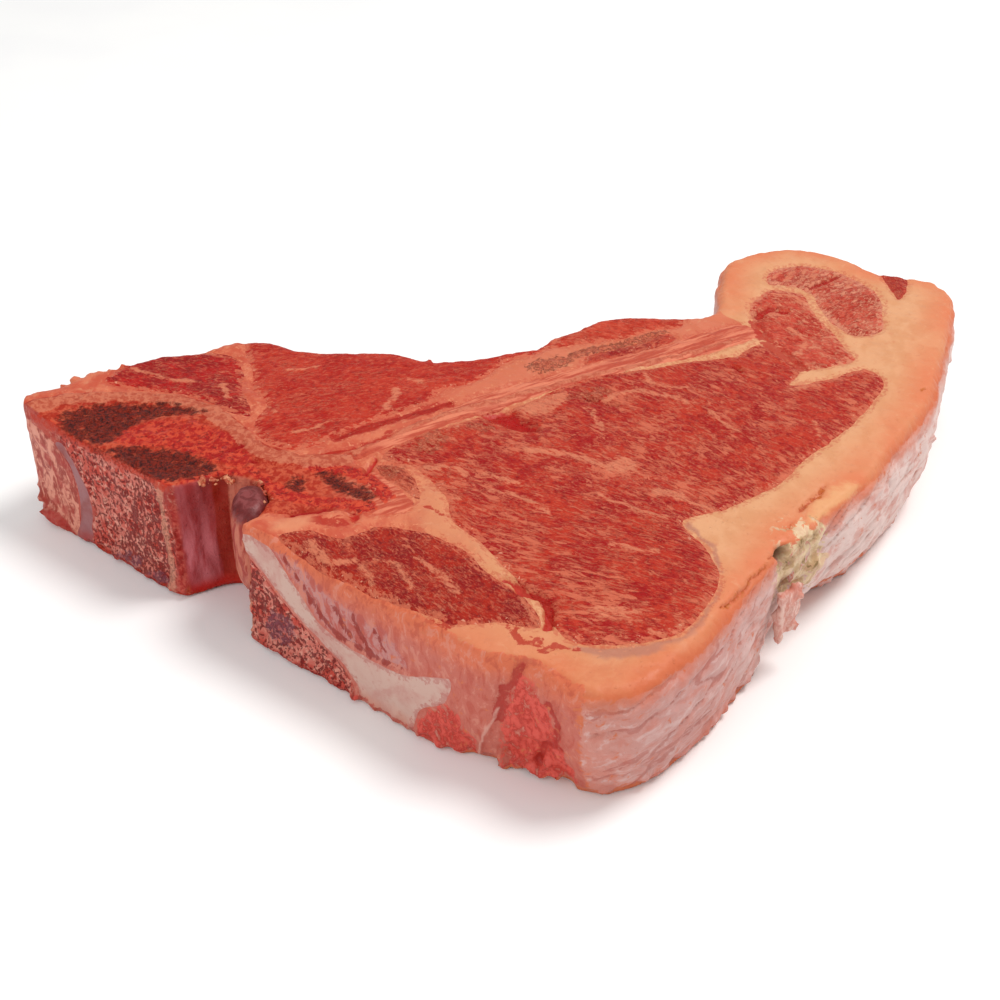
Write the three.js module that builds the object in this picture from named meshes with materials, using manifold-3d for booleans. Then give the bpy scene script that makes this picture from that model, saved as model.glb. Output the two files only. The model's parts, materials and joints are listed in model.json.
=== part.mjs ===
// A raw T-bone steak lying on its cut face. Millimetres, +Z up.
// The sawn backbone edge faces the front left, the fat edge faces the right,
// and the tail end is at the back right. The origin is on the floor under the middle.
import * as THREE from 'three';
import Module from 'manifold-3d';
import { mergeVertices } from 'three/addons/utils/BufferGeometryUtils.js';

const wasm = await Module();
wasm.setup();

// Driving dimensions
const THICKNESS = 31; // top face over the floor
const GAP = 0.3; // between neighbouring pieces
const SKIN_STEP = 6; // spacing of the points round the outline
const SEAM_STEP = 4.5; // spacing of the points round a muscle
const RELIEF_STEP = 7.5; // grid of the top face
const CLEAR = 8; // how far a cutting form reaches past the steak
const BONE_DEPTH = 9; // thickness of the split spine behind the sawn edge
const CARTILAGE_DEPTH = 7; // depth of the white band on the spine
const DISC_DEPTH = 8; // depth of the disc and the ligament at the left end
const UNDERCUT_HEIGHT = 17; // height up to which the side draws in to the floor
const SAWN_SHOULDER = 0.6; // radius of the top edge along the sawn bone
const SPINE_SHOULDER = 5; // radius of the top edge along the backbone muscle

// The sawn backbone edge is one straight line in plan
const SAWN_START = [-112.5, 6];
const SAWN_DIRECTION = [0.7793, -0.6266];
const BODY_END = 49.4; // along the edge, where the spinal canal opens
const SPINE_START = 70.5; // where the canal ends
const SPINE_END = 134; // where the fat lobe starts

function alongSawnEdge(distance) {
  return [
    SAWN_START[0] + SAWN_DIRECTION[0] * distance,
    SAWN_START[1] + SAWN_DIRECTION[1] * distance,
  ];
}

// Rows of the outline: x, y, then the undercut at the floor, the bulge at half
// height and the radius of the top shoulder at that place
const CANAL_EDGE = [
  [...alongSawnEdge(BODY_END), 0, 0, SAWN_SHOULDER],
  [-70.6, -23.8, 0, 0, 1],
  [-65, -20.7, 0, 0, 1],
  [-60.3, -20.3, 0, 0, 1],
  [-55.6, -22.3, 0, 0, 1],
  [-52.4, -28.5, 0, 0, 1],
  [-53.8, -34.2, 0, 0, 1],
  [...alongSawnEdge(SPINE_START), 0, 0, 0.8],
];
const FAT_EDGE = [
  [...alongSawnEdge(SPINE_END), 4, 0, 1.5],
  [0.5, -79.6, 4, 0, 2.5],
  [4.5, -83, 5, 0, 4],
  [11.5, -88.9, 5, 0.5, 5],
  [20, -87.8, 4.5, 0.5, 5],
  [29, -80, 2.5, 0.6, 5],
  [38, -69, 2, 0.6, 4.5],
  [43.5, -59.5, 1.2, 0.6, 4],
  [49.8, -50.6, 1, 0, 3],
  [51.6, -46.6, 3, -0.5, 2],
  [56.5, -41.5, 8, 0, 2],
  [66, -31.5, 9, 0.5, 2.5],
  [76, -20, 5, 1, 3],
  [83, -9, 3, 1.2, 3.5],
  [91, 3, 3, 1.2, 3.5],
  [95.8, 11.5, 3, 1, 3.5],
  [104, 34, 2, 0.8, 3],
  [110, 50, 1, 0.5, 3],
  [112.6, 63, 1, 0, 3],
  [109.5, 70.6, 2, 0, 3],
  [102, 73.5, 3, 0, 3],
  [95, 75.8, 3, 0, 3],
  [90.4, 82, 3, 0.5, 3],
  [83, 88.6, 3, 0.5, 3],
  [73.5, 90.5, 3, 0.5, 3],
  [63.5, 87.6, 3, 0.5, 3],
  [56.2, 82.6, 3, 0.5, 3],
  [52.7, 72, 2.5, 0.5, 3],
  [50.8, 58, 2, 0.5, 2.5],
  [49.5, 53, 2, 0, 2],
  [45.2, 50.4, 2, 0, 2],
  [33.5, 51.4, 2.5, 0.8, 2.5],
  [21.5, 50, 2.5, 0.8, 2.5],
  [14.5, 44.2, 2, 0.5, 2],
  [8.5, 40.8, 2, 0.5, 2],
  [4.8, 35.4, 2, 0.3, 2],
  [-1.2, 33.3, 2, 0.5, 2],
  [-12, 29.2, 2.5, 0.8, 2.5],
  [-20.8, 28.6, 2.5, 0.8, 2.5],
  [-30, 33.3, 2.5, 1, 3],
  [-42, 32.6, 2.5, 1, 3],
  [-53, 34.2, 2.5, 1, 3],
  [-60, 38.3, 2.5, 0.8, 2.5],
  [-68.4, 38.3, 2, 0.5, 2],
  [-76, 33.8, 2, 0.5, 2],
  [-84.5, 32.6, 2, 0.5, 2],
  [-92, 27.6, 1.5, 0, 1.5],
  [-100.5, 22, 1.5, 0, 1],
  [-106, 15.8, 1, 0, 1],
  [-113.2, 10.8, 0.5, 0, 0.8],
  [...SAWN_START, 0, 0, SAWN_SHOULDER],
];

// Rises and hollows of the top face: x, y, reach, height
const RELIEF = [
  [-90, 2, 11, -1.4], // brown marrow
  [-76, -15, 8, -0.9],
  [-42, -22, 9, -0.8],
  [-42, -33, 5, -1],
  [-62, -20, 6, -0.8], // edge of the canal
  [-44, 14, 20, 0.8], // tenderloin
  [-80, 24, 11, -0.7],
  [-30, -52, 12, -0.8], // backbone muscle
  [-42, -41, 6, 1],
  [0, 3, 6, -1.6], // deep pocket
  [24, -40, 22, 0.9], // strip loin
  [50, 5, 18, 0.6],
  [24, 36, 9, -1],
  [72, 42, 14, -0.6],
  [84, 60, 10, 0.7],
  [104, 40, 14, 0.8], // fat edge
  [16, -80, 14, -1.2],
  [45, -48, 10, -0.7],
  [-110, 8, 8, 1.6], // left tip
];

// Cracks in the side: where each opens, which way it runs, its depth and half width
const FRONT_CRACK = { mouth: [-5.6, -80], inward: [0.5, 0.87], depth: 7, halfWidth: 1.6, bottom: 5 };
const MOULD_CRACK = { mouth: [52, -48.5], inward: [-0.75, 0.66], depth: 4, halfWidth: 2.4, bottom: 3 };
const MOULD_HOLE = { centre: [57, -43, 13], radii: [5.4, 5.4, 6.8], turn: 0 };

// The spinal nerve lies in the canal against its right wall
const NERVE = { centre: [-56.6, -30.6, 19.6], radii: [4.4, 7.8, 11.6], turn: 0.12 };

// Heights of the rings of the side wall
const WALL_LEVELS = [0, 4, 11, 19, 25, 28.4, 30.6, THICKNESS + CLEAR];

// Muscles in plan, each a closed soft line
const TENDERLOIN = [
  [-65.4, 46], [-65.2, 33], [-62.8, 23.5], [-60.6, 14], [-57.4, 8], [-58.8, -1],
  [-56, -6.6], [-50, -10.6], [-44.5, -9.4], [-35, -1.4], [-25.7, 4.8], [-19.6, 9],
  [-17.6, 14.4], [-10.4, 17.4], [-6.4, 22], [-2, 27.8], [4.5, 31.5], [10, 42], [-25, 52],
];
const SIDE_MUSCLE = [
  [-95.8, 19], [-94.5, 23.5], [-89, 30], [-82.6, 32], [-73, 32], [-67.6, 29.8],
  [-64.8, 23], [-63.4, 15], [-61.6, 9], [-60.4, 2.6], [-64.6, 4.6], [-71, 9.6],
  [-79, 14.4], [-88, 15.8],
];
const FLANK_MUSCLE = [
  [5.5, 33.2], [14, 36.4], [24, 39.4], [32.7, 43.8], [40.6, 44.6], [41.2, 49],
  [40, 58], [18, 60], [4, 48], [2.5, 38],
];
const STRIP_LOIN = [
  [-29, -13.5], [-25.8, -7.9], [-17, -2.4], [-8, 3.6], [0, 8], [8.5, 14.6], [20, 21.2],
  [31, 24], [43, 28], [52, 30.2], [58.5, 36], [62, 31], [66, 23], [63, 16.4], [72, 18.8],
  [82.4, 24.2], [85.2, 18], [82, 10.6], [76, 1.8], [70.4, -5.2], [62, -13.8], [50.4, -27.4],
  [40, -34.6], [32.6, -38.6], [36, -46], [38.2, -54.6], [34.4, -64.4], [27, -72.8],
  [16, -74.2], [8.6, -73.4], [5, -67.5], [0.6, -59], [-4, -51.6], [-9, -43.6], [-14, -36.6],
  [-15.6, -28.5], [-20.2, -21], [-23.4, -16.8],
];
const BACKBONE_MUSCLE = [
  [-48.6, -42.6], [-43, -40.8], [-36.5, -42.6], [-28, -38.6], [-19, -40.8], [-12, -46.6],
  [-6.8, -54], [-1.4, -60], [3, -70], [-4, -69.4], [-12, -69.6], [-22, -64.2], [-31, -57.6],
  [-39, -51.6], [-44.4, -46.8],
];
const SMALL_MUSCLE = [
  [-30.6, -16.6], [-27, -16.4], [-22.6, -22], [-20.6, -29.4], [-24.6, -25.6], [-29.4, -20.6],
];
const TAIL_INNER_MUSCLE = [
  [58.4, 50], [60.4, 59], [66, 64.8], [72.4, 62.6], [74.2, 55], [76.4, 46], [78.6, 38],
  [80.2, 28.6], [75, 25.4], [68, 24.6], [63.4, 33], [60.4, 41.6],
];
const TAIL_OUTER_MUSCLE = [
  [65.6, 68.4], [66.4, 74], [73, 78.2], [80, 77.4], [87, 72], [91.6, 64], [92, 53],
  [89.6, 42.4], [82.6, 40.4], [78.8, 45.4], [76.6, 54], [75, 62.4], [71, 67],
];
const TAIL_SPOT = [
  [95.6, 82], [96, 70], [97, 59.4], [99.6, 63.6], [102, 70], [102, 82],
];
const BAR_STRIP = [
  [-40.4, -6.8], [-33, -2.6], [-25, 2.2], [-16, 7.4], [-15.4, 9.4], [-24.6, 4], [-33, -0.6],
  [-39.6, -4.8],
];
const BACK_STRIP = [
  [15.6, 26.6], [22, 29.6], [30, 33.2], [38.6, 38.8], [36.4, 41.6], [28.6, 37], [20.6, 33],
  [16, 30],
];

// The bone in plan: the split body of the vertebra, the arch beside the canal
// and the long bar between the two big muscles
const VERTEBRA = [
  [-120, 0], [-110.5, 7.4], [-104, 11.2], [-95, 13.6], [-83, 13.8], [-75, 11.4], [-68, 7],
  [-61.6, -0.6], [-56, -7.8], [-48, -12.6], [-44, -17], [-50, -25], [-66, -27], [-82, -38],
];
const ARCH = [
  [-56, -20], [-46, -13.2], [-38, -13.6], [-32, -18.6], [-26, -25], [-21.6, -31.6],
  [-28, -34.4], [-40, -33.4], [-50, -34.2], [-57, -33],
];
const BAR_FRONT = [
  [-46, -18], [-36, -14.6], [-28, -9.4], [-16, -1], [-5, 6.8], [6, 13.4], [18, 19.8],
  [29, 24.4], [41, 29.4], [51, 34.4], [58.4, 39.6], [60.4, 43],
];
const BAR_BACK = [
  [55, 45.6], [45, 41.4], [36.5, 36], [28.8, 32.6], [21.2, 28.4], [13.5, 24.2], [5.8, 20],
  [-2, 16], [-9.6, 11.2], [-16, 5.4], [-25, -2.4], [-33, -8.4], [-44, -12.6],
];

// The fat above the bar, round the tenderloin: the line follows the bone inside it
const TENDERLOIN_FAT_SIDE = [
  [-130, -2], [-100, -8], [-62, -14], [-46, -15], [-34, -11], [-20, -0.6], [-5, 10.6],
  [13.5, 21], [29, 28.6], [45, 36.8], [57.4, 42.4], [52, 50], [47.6, 60], [-30, 70],
  [-130, 50],
];

const CORNER_FAT_END = -89.6; // where the fat of the left corner ends
const SIDE_FAT_END = -57.6; // where the fat round the side muscle ends
const REACH = 100; // half the width that a straight cut spans

// Pieces of the sawn face, in distance along the edge and height
const SPINE_FACE = [
  [66, -3], [101.6, -3], [101, 3], [98, 6.4], [90, 10.4], [80, 16.8], [73, 22.4], [66, 23.4],
];
const SPINE_BAND_FACE = [
  [71.4, 27.8], [71.4, 24.4], [74, 22.9], [80.6, 17.5], [90.4, 11.2], [98.6, 7.2],
  [102, 3.6], [102.6, -3], [115.6, -3], [118.6, 7], [124.6, 12.4], [126.6, 19.4],
  [118, 15.4], [112, 13.6], [99.6, 13.4], [93, 15], [88, 19], [83.4, 24], [79.8, 27.6],
];
const DISC_FACE = [
  [11.4, 26], [14.8, 20.4], [16, 14], [15, 7], [12.4, -3], [17.8, -3], [18.6, 5], [20, 11],
  [19.4, 16], [16.8, 21], [13.4, 26],
];
const LIGAMENT_FACE = [
  [-6, -3], [11.8, -3], [14.4, 7], [15.4, 14], [14.2, 20.2], [10.6, 26], [-6, 26],
];

// Closed solids
function toSolid(geometry) {
  geometry.deleteAttribute('normal');
  geometry.deleteAttribute('uv');
  const merged = mergeVertices(geometry, 1e-4);
  return new wasm.Manifold(new wasm.Mesh({
    numProp: 3,
    vertProperties: new Float32Array(merged.attributes.position.array),
    triVerts: new Uint32Array(merged.index.array),
  }));
}

function toGeometry(solid) {
  const mesh = solid.getMesh();
  const geometry = new THREE.BufferGeometry();
  geometry.setAttribute('position', new THREE.BufferAttribute(new Float32Array(mesh.vertProperties), 3));
  geometry.setIndex(new THREE.BufferAttribute(new Uint32Array(mesh.triVerts), 1));
  geometry.computeVertexNormals();
  return geometry;
}

function largestBody(solid) {
  const bodies = solid.decompose();
  return bodies.reduce((best, body) => (body.volume() > best.volume() ? body : best));
}

// A closed soft line through a few points
function softLine(points) {
  const curve = new THREE.CatmullRomCurve3(
    points.map(([x, y]) => new THREE.Vector3(x, y, 0)), true, 'centripetal');
  const line = [];
  points.forEach(([x, y], i) => {
    const [nextX, nextY] = points[(i + 1) % points.length];
    const count = Math.max(1, Math.round(Math.hypot(nextX - x, nextY - y) / SEAM_STEP));
    for (let k = 0; k < count; k += 1) {
      const point = curve.getPoint((i + k / count) / points.length);
      line.push([point.x, point.y]);
    }
  });
  return line;
}

// Moves each side of a closed line outwards by the same distance
function grow(line, distance) {
  const outward = THREE.ShapeUtils.isClockWise(line.map(([x, y]) => new THREE.Vector2(x, y))) ? -1 : 1;
  const sideNormal = ([fromX, fromY], [toX, toY]) =>
    new THREE.Vector2(toY - fromY, fromX - toX).normalize().multiplyScalar(outward);
  return line.map((point, i) => {
    const before = sideNormal(line[(i + line.length - 1) % line.length], point);
    const after = sideNormal(point, line[(i + 1) % line.length]);
    const corner = before.clone().add(after).normalize();
    const reach = distance / Math.max(corner.dot(after), 0.4);
    return [point[0] + corner.x * reach, point[1] + corner.y * reach];
  });
}

function extruded(line, depth) {
  const shape = new THREE.Shape(line.map(([x, y]) => new THREE.Vector2(x, y)));
  return new THREE.ExtrudeGeometry(shape, { depth, bevelEnabled: false });
}

// A muscle or bone runs through the whole thickness
function upright(line) {
  const geometry = extruded(line, THICKNESS + 2 * CLEAR);
  geometry.translate(0, 0, -CLEAR);
  return toSolid(geometry);
}

// A piece that shows on the sawn face and reaches a little way into the steak
function behindSawnFace(line, depth) {
  const geometry = extruded(line, depth + CLEAR);
  const along = new THREE.Vector3(...SAWN_DIRECTION, 0);
  const up = new THREE.Vector3(0, 0, 1);
  const outward = new THREE.Vector3().crossVectors(along, up);
  const start = new THREE.Vector3(...SAWN_START, 0).addScaledVector(outward, -depth);
  geometry.applyMatrix4(new THREE.Matrix4().makeBasis(along, up, outward).setPosition(start));
  return toSolid(geometry);
}

// The whole steak: soft side walls lofted through rings, under a relief top
function outlineRows() {
  const rows = [];
  const straight = (from, to, shoulder) => {
    const count = Math.round((to - from) / (2 * SKIN_STEP));
    for (let k = 0; k < count; k += 1) {
      const softened = SAWN_SHOULDER + (shoulder - SAWN_SHOULDER) * Math.sin((Math.PI * k) / count);
      rows.push([...alongSawnEdge(from + ((to - from) * k) / count), 0, 0, softened]);
    }
  };
  const soft = (stretch) => {
    const curve = new THREE.CatmullRomCurve3(
      stretch.map(([x, y]) => new THREE.Vector3(x, y, 0)), false, 'centripetal');
    for (let i = 0; i < stretch.length - 1; i += 1) {
      const [start, end] = [stretch[i], stretch[i + 1]];
      const count = Math.max(1, Math.round(Math.hypot(end[0] - start[0], end[1] - start[1]) / SKIN_STEP));
      for (let k = 0; k < count; k += 1) {
        const point = curve.getPoint((i + k / count) / (stretch.length - 1));
        const wall = [2, 3, 4].map((column) => THREE.MathUtils.lerp(start[column], end[column], k / count));
        rows.push([point.x, point.y, ...wall]);
      }
    }
  };
  straight(0, BODY_END, SAWN_SHOULDER);
  soft(CANAL_EDGE);
  straight(SPINE_START, SPINE_END, SPINE_SHOULDER);
  soft(FAT_EDGE);
  return rows;
}

function ringAt(rows, height) {
  const line = rows.map(([x, y]) => [x, y]);
  const outer = grow(line, 1);
  return line.map(([x, y], i) => {
    const [, , undercut, bulge, shoulder] = rows[i];
    const low = Math.max(0, 1 - height / UNDERCUT_HEIGHT);
    const high = THREE.MathUtils.clamp((height - THICKNESS + shoulder) / shoulder, 0, 0.98);
    const shift = bulge * Math.sin((Math.PI * Math.min(height, THICKNESS)) / THICKNESS)
      - undercut * low ** 1.6 - shoulder * (1 - Math.sqrt(1 - high * high));
    return [x + (outer[i][0] - x) * shift, y + (outer[i][1] - y) * shift, height];
  });
}

function loft(rings) {
  const count = rings[0].length;
  const positions = rings.flat(2);
  const index = [];
  for (let level = 0; level < rings.length - 1; level += 1) {
    for (let i = 0; i < count; i += 1) {
      const a = level * count + i;
      const b = level * count + ((i + 1) % count);
      index.push(a, b, b + count, a, b + count, a + count);
    }
  }
  const cap = (ring) => THREE.ShapeUtils.triangulateShape(ring.map(([x, y]) => new THREE.Vector2(x, y)), []);
  const last = (rings.length - 1) * count;
  cap(rings[0]).forEach(([a, b, c]) => index.push(c, b, a));
  cap(rings[rings.length - 1]).forEach(([a, b, c]) => index.push(last + a, last + b, last + c));
  const geometry = new THREE.BufferGeometry();
  geometry.setAttribute('position', new THREE.BufferAttribute(new Float32Array(positions), 3));
  geometry.setIndex(index);
  return toSolid(geometry);
}

function topHeight(x, y) {
  const rises = RELIEF.reduce(
    (sum, [centreX, centreY, reach, height]) =>
      sum + height * Math.exp(-((x - centreX) ** 2 + (y - centreY) ** 2) / reach ** 2), 0);
  return THICKNESS + rises;
}

function reliefBlock() {
  const [width, depth] = [250, 210];
  const geometry = new THREE.BoxGeometry(
    width, depth, 2, Math.round(width / RELIEF_STEP), Math.round(depth / RELIEF_STEP), 1);
  const position = geometry.attributes.position;
  for (let i = 0; i < position.count; i += 1) {
    const [x, y] = [position.getX(i), position.getY(i)];
    position.setZ(i, position.getZ(i) > 0 ? topHeight(x, y) : -CLEAR);
  }
  return toSolid(geometry);
}

// A deep crack in the side: a wedge that opens outwards and upwards
function crack({ mouth, inward, depth, halfWidth, bottom }) {
  const across = [-inward[1] * halfWidth, inward[0] * halfWidth];
  const outside = [mouth[0] - inward[0] * CLEAR, mouth[1] - inward[1] * CLEAR];
  const wedge = (scale, height) => [
    [outside[0] + across[0] * scale, outside[1] + across[1] * scale, height],
    [outside[0] - across[0] * scale, outside[1] - across[1] * scale, height],
    [mouth[0] + inward[0] * depth * scale, mouth[1] + inward[1] * depth * scale, height],
  ];
  return loft([wedge(0.3, bottom), wedge(1, THICKNESS * 0.75), wedge(0.8, THICKNESS + CLEAR)]);
}

function lump({ centre, radii, turn }, extra) {
  const geometry = new THREE.SphereGeometry(1, 18, 12);
  geometry.scale(radii[0] + extra, radii[1] + extra, radii[2] + extra);
  geometry.rotateZ(turn);
  geometry.translate(...centre);
  return toSolid(geometry);
}

const rows = outlineRows();
let rest = loft(WALL_LEVELS.map((height) => ringAt(rows, height)))
  .intersect(reliefBlock())
  .subtract(crack(FRONT_CRACK))
  .subtract(crack(MOULD_CRACK))
  .subtract(lump(MOULD_HOLE, 0))
  .subtract(lump(NERVE, GAP));

// Finishes
const finish = (color, roughness) => new THREE.MeshStandardMaterial({ color, roughness, metalness: 0 });
const lean = finish(0xa8392c, 0.45);
const darkLean = finish(0x86281f, 0.45);
const fat = finish(0xe0a07a, 0.5);
const bone = finish(0xb9685a, 0.6);
const cartilage = finish(0xcbb8b0, 0.35);
const ligament = finish(0xc28a78, 0.5);
const nerve = finish(0x8a5a60, 0.35);

const steak = new THREE.Group();

function add(name, solid, material) {
  const mesh = new THREE.Mesh(toGeometry(solid), material);
  mesh.name = name;
  steak.add(mesh);
}

// Takes a piece out of what is left and keeps a gap round it
function take(name, form, cutter, material) {
  add(name, largestBody(rest.intersect(form)), material);
  rest = rest.subtract(cutter);
}

const takeUpright = (name, points, material) => {
  const line = softLine(points);
  take(name, upright(line), upright(grow(line, GAP)), material);
};
const takeBehindSawnFace = (name, line, depth, material) =>
  take(name, behindSawnFace(line, depth), behindSawnFace(grow(line, GAP), depth + GAP), material);

const boneForm = (extra) => {
  const bar = [...BAR_FRONT, ...BAR_BACK];
  return [VERTEBRA, ARCH, bar]
    .map((points) => upright(grow(softLine(points), extra)))
    .reduce((sum, form) => sum.add(form))
    .add(behindSawnFace(grow(SPINE_FACE, extra), BONE_DEPTH + extra));
};

takeBehindSawnFace('disc_cartilage', DISC_FACE, DISC_DEPTH, cartilage);
takeBehindSawnFace('disc_ligament', LIGAMENT_FACE, DISC_DEPTH, ligament);
takeBehindSawnFace('spine_cartilage', SPINE_BAND_FACE, CARTILAGE_DEPTH, cartilage);
take('t_bone', boneForm(0), boneForm(GAP), bone);
add('spinal_nerve', lump(NERVE, 0), nerve);
takeUpright('tenderloin', TENDERLOIN, lean);
takeUpright('side_muscle', SIDE_MUSCLE, darkLean);
takeUpright('strip_loin', STRIP_LOIN, lean);
takeUpright('backbone_muscle', BACKBONE_MUSCLE, lean);
takeUpright('small_muscle', SMALL_MUSCLE, darkLean);
takeUpright('flank_muscle', FLANK_MUSCLE, lean);
takeUpright('bar_strip', BAR_STRIP, darkLean);
takeUpright('back_strip', BACK_STRIP, darkLean);
takeUpright('tail_inner_muscle', TAIL_INNER_MUSCLE, lean);
takeUpright('tail_outer_muscle', TAIL_OUTER_MUSCLE, lean);
takeUpright('tail_spot', TAIL_SPOT, darkLean);

const tenderloinSide = softLine(TENDERLOIN_FAT_SIDE);
const leftOf = (x) => upright([[x, -REACH], [x, REACH], [-2 * REACH, REACH], [-2 * REACH, -REACH]]);
const upperFat = rest.intersect(upright(tenderloinSide));
const leftFat = upperFat.intersect(leftOf(SIDE_FAT_END));
add('corner_fat', largestBody(leftFat.intersect(leftOf(CORNER_FAT_END))), fat);
add('side_fat', largestBody(leftFat.subtract(leftOf(CORNER_FAT_END + GAP))), fat);
add('tenderloin_fat', largestBody(upperFat.subtract(leftOf(SIDE_FAT_END + GAP))), fat);
add('fat_cap', largestBody(rest.subtract(upright(grow(tenderloinSide, GAP)))), fat);

export default steak;
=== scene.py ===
# %% [markdown]
# A raw T-bone steak on a pale floor.
# The real thing is a slab about 31 mm thick, sawn across the loin: a T-shaped bone, a big
# muscle on each side of its bar, smaller muscles, and fat between and around them.
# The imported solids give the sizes. Here each one gets a fine surface and its own finish.

import json
import math

import bmesh
import bpy
import numpy as np
from mathutils.kdtree import KDTree
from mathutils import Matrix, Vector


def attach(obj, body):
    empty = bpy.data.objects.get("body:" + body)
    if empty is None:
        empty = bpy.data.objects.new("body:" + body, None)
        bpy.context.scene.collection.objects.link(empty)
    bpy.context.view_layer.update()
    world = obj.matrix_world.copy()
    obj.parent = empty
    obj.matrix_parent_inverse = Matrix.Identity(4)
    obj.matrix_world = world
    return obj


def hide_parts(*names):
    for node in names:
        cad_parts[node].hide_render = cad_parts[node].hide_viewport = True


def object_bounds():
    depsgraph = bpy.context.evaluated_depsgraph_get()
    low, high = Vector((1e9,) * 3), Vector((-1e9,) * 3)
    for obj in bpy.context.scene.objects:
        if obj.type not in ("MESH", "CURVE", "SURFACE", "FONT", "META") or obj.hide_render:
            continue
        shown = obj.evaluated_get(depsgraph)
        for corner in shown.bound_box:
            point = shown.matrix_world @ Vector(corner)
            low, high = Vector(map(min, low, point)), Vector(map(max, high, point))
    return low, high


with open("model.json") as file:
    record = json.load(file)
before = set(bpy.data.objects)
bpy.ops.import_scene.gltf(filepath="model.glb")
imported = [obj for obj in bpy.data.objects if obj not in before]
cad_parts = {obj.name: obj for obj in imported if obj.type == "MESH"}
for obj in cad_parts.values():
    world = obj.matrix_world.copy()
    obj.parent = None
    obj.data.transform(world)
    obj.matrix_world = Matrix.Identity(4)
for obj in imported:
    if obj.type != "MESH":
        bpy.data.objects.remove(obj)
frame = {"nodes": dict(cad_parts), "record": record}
cad_box = [list(corner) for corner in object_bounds()]
MM = 0.001
print("frame", len(frame["nodes"]), "nodes, box", [[round(v / MM, 1) for v in c] for c in cad_box])

# %% [markdown]
# Everything is measured in millimetres on the floor plan: x to the right, y away from the
# viewer. The sawn backbone edge is one straight line, so a point on that face is given by
# its distance along the edge and its height.

# %% Plan coordinates
SAWN_START = np.array([-112.5, 6.0])
SAWN_DIRECTION = np.array([0.7793, -0.6266])
SAWN_OUTWARD = np.array([-0.6266, -0.7793])


def on_sawn_face(points):
    """Distance along the sawn edge, height, and depth behind the face, of each point."""
    away = points[:, :2] - SAWN_START
    return np.column_stack([away @ SAWN_DIRECTION, points[:, 2], -(away @ SAWN_OUTWARD)])


print("the sawn edge starts at", SAWN_START.tolist())

# %% [markdown]
# Meat is never smooth, so most shapes below are shifted by a soft noise. It is worked out
# with arrays, because a mesh here has more than a hundred thousand points. A lattice of
# random numbers from a fixed seed is blended between its corners.

# %% Soft noise
LATTICE_SIZE = 48
LATTICE = np.random.default_rng(11).random((LATTICE_SIZE,) * 3)


def smooth(low, high, value):
    """0 below low, 1 above high, and a soft step between."""
    t = np.clip((value - low) / (high - low), 0.0, 1.0)
    return t * t * (3.0 - 2.0 * t)


def noise(points, size, octaves=1, shift=0.0):
    """Soft noise from -1 to 1, with lumps about as large as size, in mm."""
    total = np.zeros(len(points))
    weight = 1.0
    reach = 0.0
    for octave in range(octaves):
        place = points / size + shift + 7.3 * octave
        corner = np.floor(place).astype(int)
        part = place - corner
        part = part * part * (3.0 - 2.0 * part)
        value = np.zeros(len(points))
        for dx in (0, 1):
            for dy in (0, 1):
                for dz in (0, 1):
                    index = (corner + (dx, dy, dz)) % LATTICE_SIZE
                    blend = (
                        (part[:, 0] if dx else 1 - part[:, 0])
                        * (part[:, 1] if dy else 1 - part[:, 1])
                        * (part[:, 2] if dz else 1 - part[:, 2])
                    )
                    value += blend * LATTICE[index[:, 0], index[:, 1], index[:, 2]]
        total += weight * (2.0 * value - 1.0)
        reach += weight
        weight *= 0.5
        size *= 0.5
    return total / reach * 1.6


def flat(points, height=0.0):
    """Plan points with one height for all of them."""
    return np.column_stack([points[:, 0], points[:, 1], np.full(len(points), height)])


print("noise lattice", LATTICE.shape)

# %% [markdown]
# A muscle's edge in the cut is a soft closed line. Few points are enough when a
# Catmull-Rom curve joins them. The same line later gives distances, such as how far a
# point lies from the seam.

# %% Soft lines
def between(t, start, end, first, second):
    """The point that lies between two points as t lies between start and end."""
    return (first * (end - t) + second * (t - start)) / (end - start)


def soft_line(points, step=1.0, closed=True):
    """A smooth line through a few plan points, with a point about every step mm."""
    points = np.array(points, dtype=float)
    count = len(points)
    line = []
    for i in range(count if closed else count - 1):
        if closed:
            near = [points[(i + k) % count] for k in (-1, 0, 1, 2)]
        else:
            near = [points[min(max(i + k, 0), count - 1)] for k in (-1, 0, 1, 2)]
        steps = max(1, round(np.linalg.norm(near[2] - near[1]) / step))
        spans = [max(np.linalg.norm(near[k + 1] - near[k]), 1e-6) ** 0.5 for k in range(3)]
        knots = np.cumsum([0.0] + spans)
        for t in knots[1] + (knots[2] - knots[1]) * np.arange(steps) / steps:
            outer = [between(t, knots[k], knots[k + 1], near[k], near[k + 1]) for k in range(3)]
            inner = [between(t, knots[k], knots[k + 2], outer[k], outer[k + 1]) for k in range(2)]
            line.append(between(t, knots[1], knots[2], *inner))
    if not closed:
        line.append(points[-1])
    return np.array(line)


def distance_to(points, line, closed=True):
    """Distance of each plan point from a line."""
    nearest = np.full(len(points), 1e9)
    ends = np.roll(line, -1, axis=0) if closed else line[1:]
    for start, end in zip(line, ends):
        side = end - start
        t = np.clip(((points - start) @ side) / max(side @ side, 1e-9), 0.0, 1.0)
        away = points - start - t[:, None] * side
        nearest = np.minimum(nearest, (away * away).sum(axis=1))
    return np.sqrt(nearest)


def depth_inside(points, line):
    """Distance from a closed line, positive inside it and negative outside."""
    crossings = np.zeros(len(points), dtype=bool)
    for (ax, ay), (bx, by) in zip(line, np.roll(line, -1, axis=0)):
        spans = (ay > points[:, 1]) != (by > points[:, 1])
        reach = (bx - ax) * (points[:, 1] - ay) / (by - ay if by != ay else 1e-9) + ax
        crossings ^= spans & (points[:, 0] < reach)
    return distance_to(points, line) * np.where(crossings, 1.0, -1.0)


print("a soft square of 10 mm has", len(soft_line([(0, 0), (10, 0), (10, 10), (0, 10)])), "points")

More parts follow.
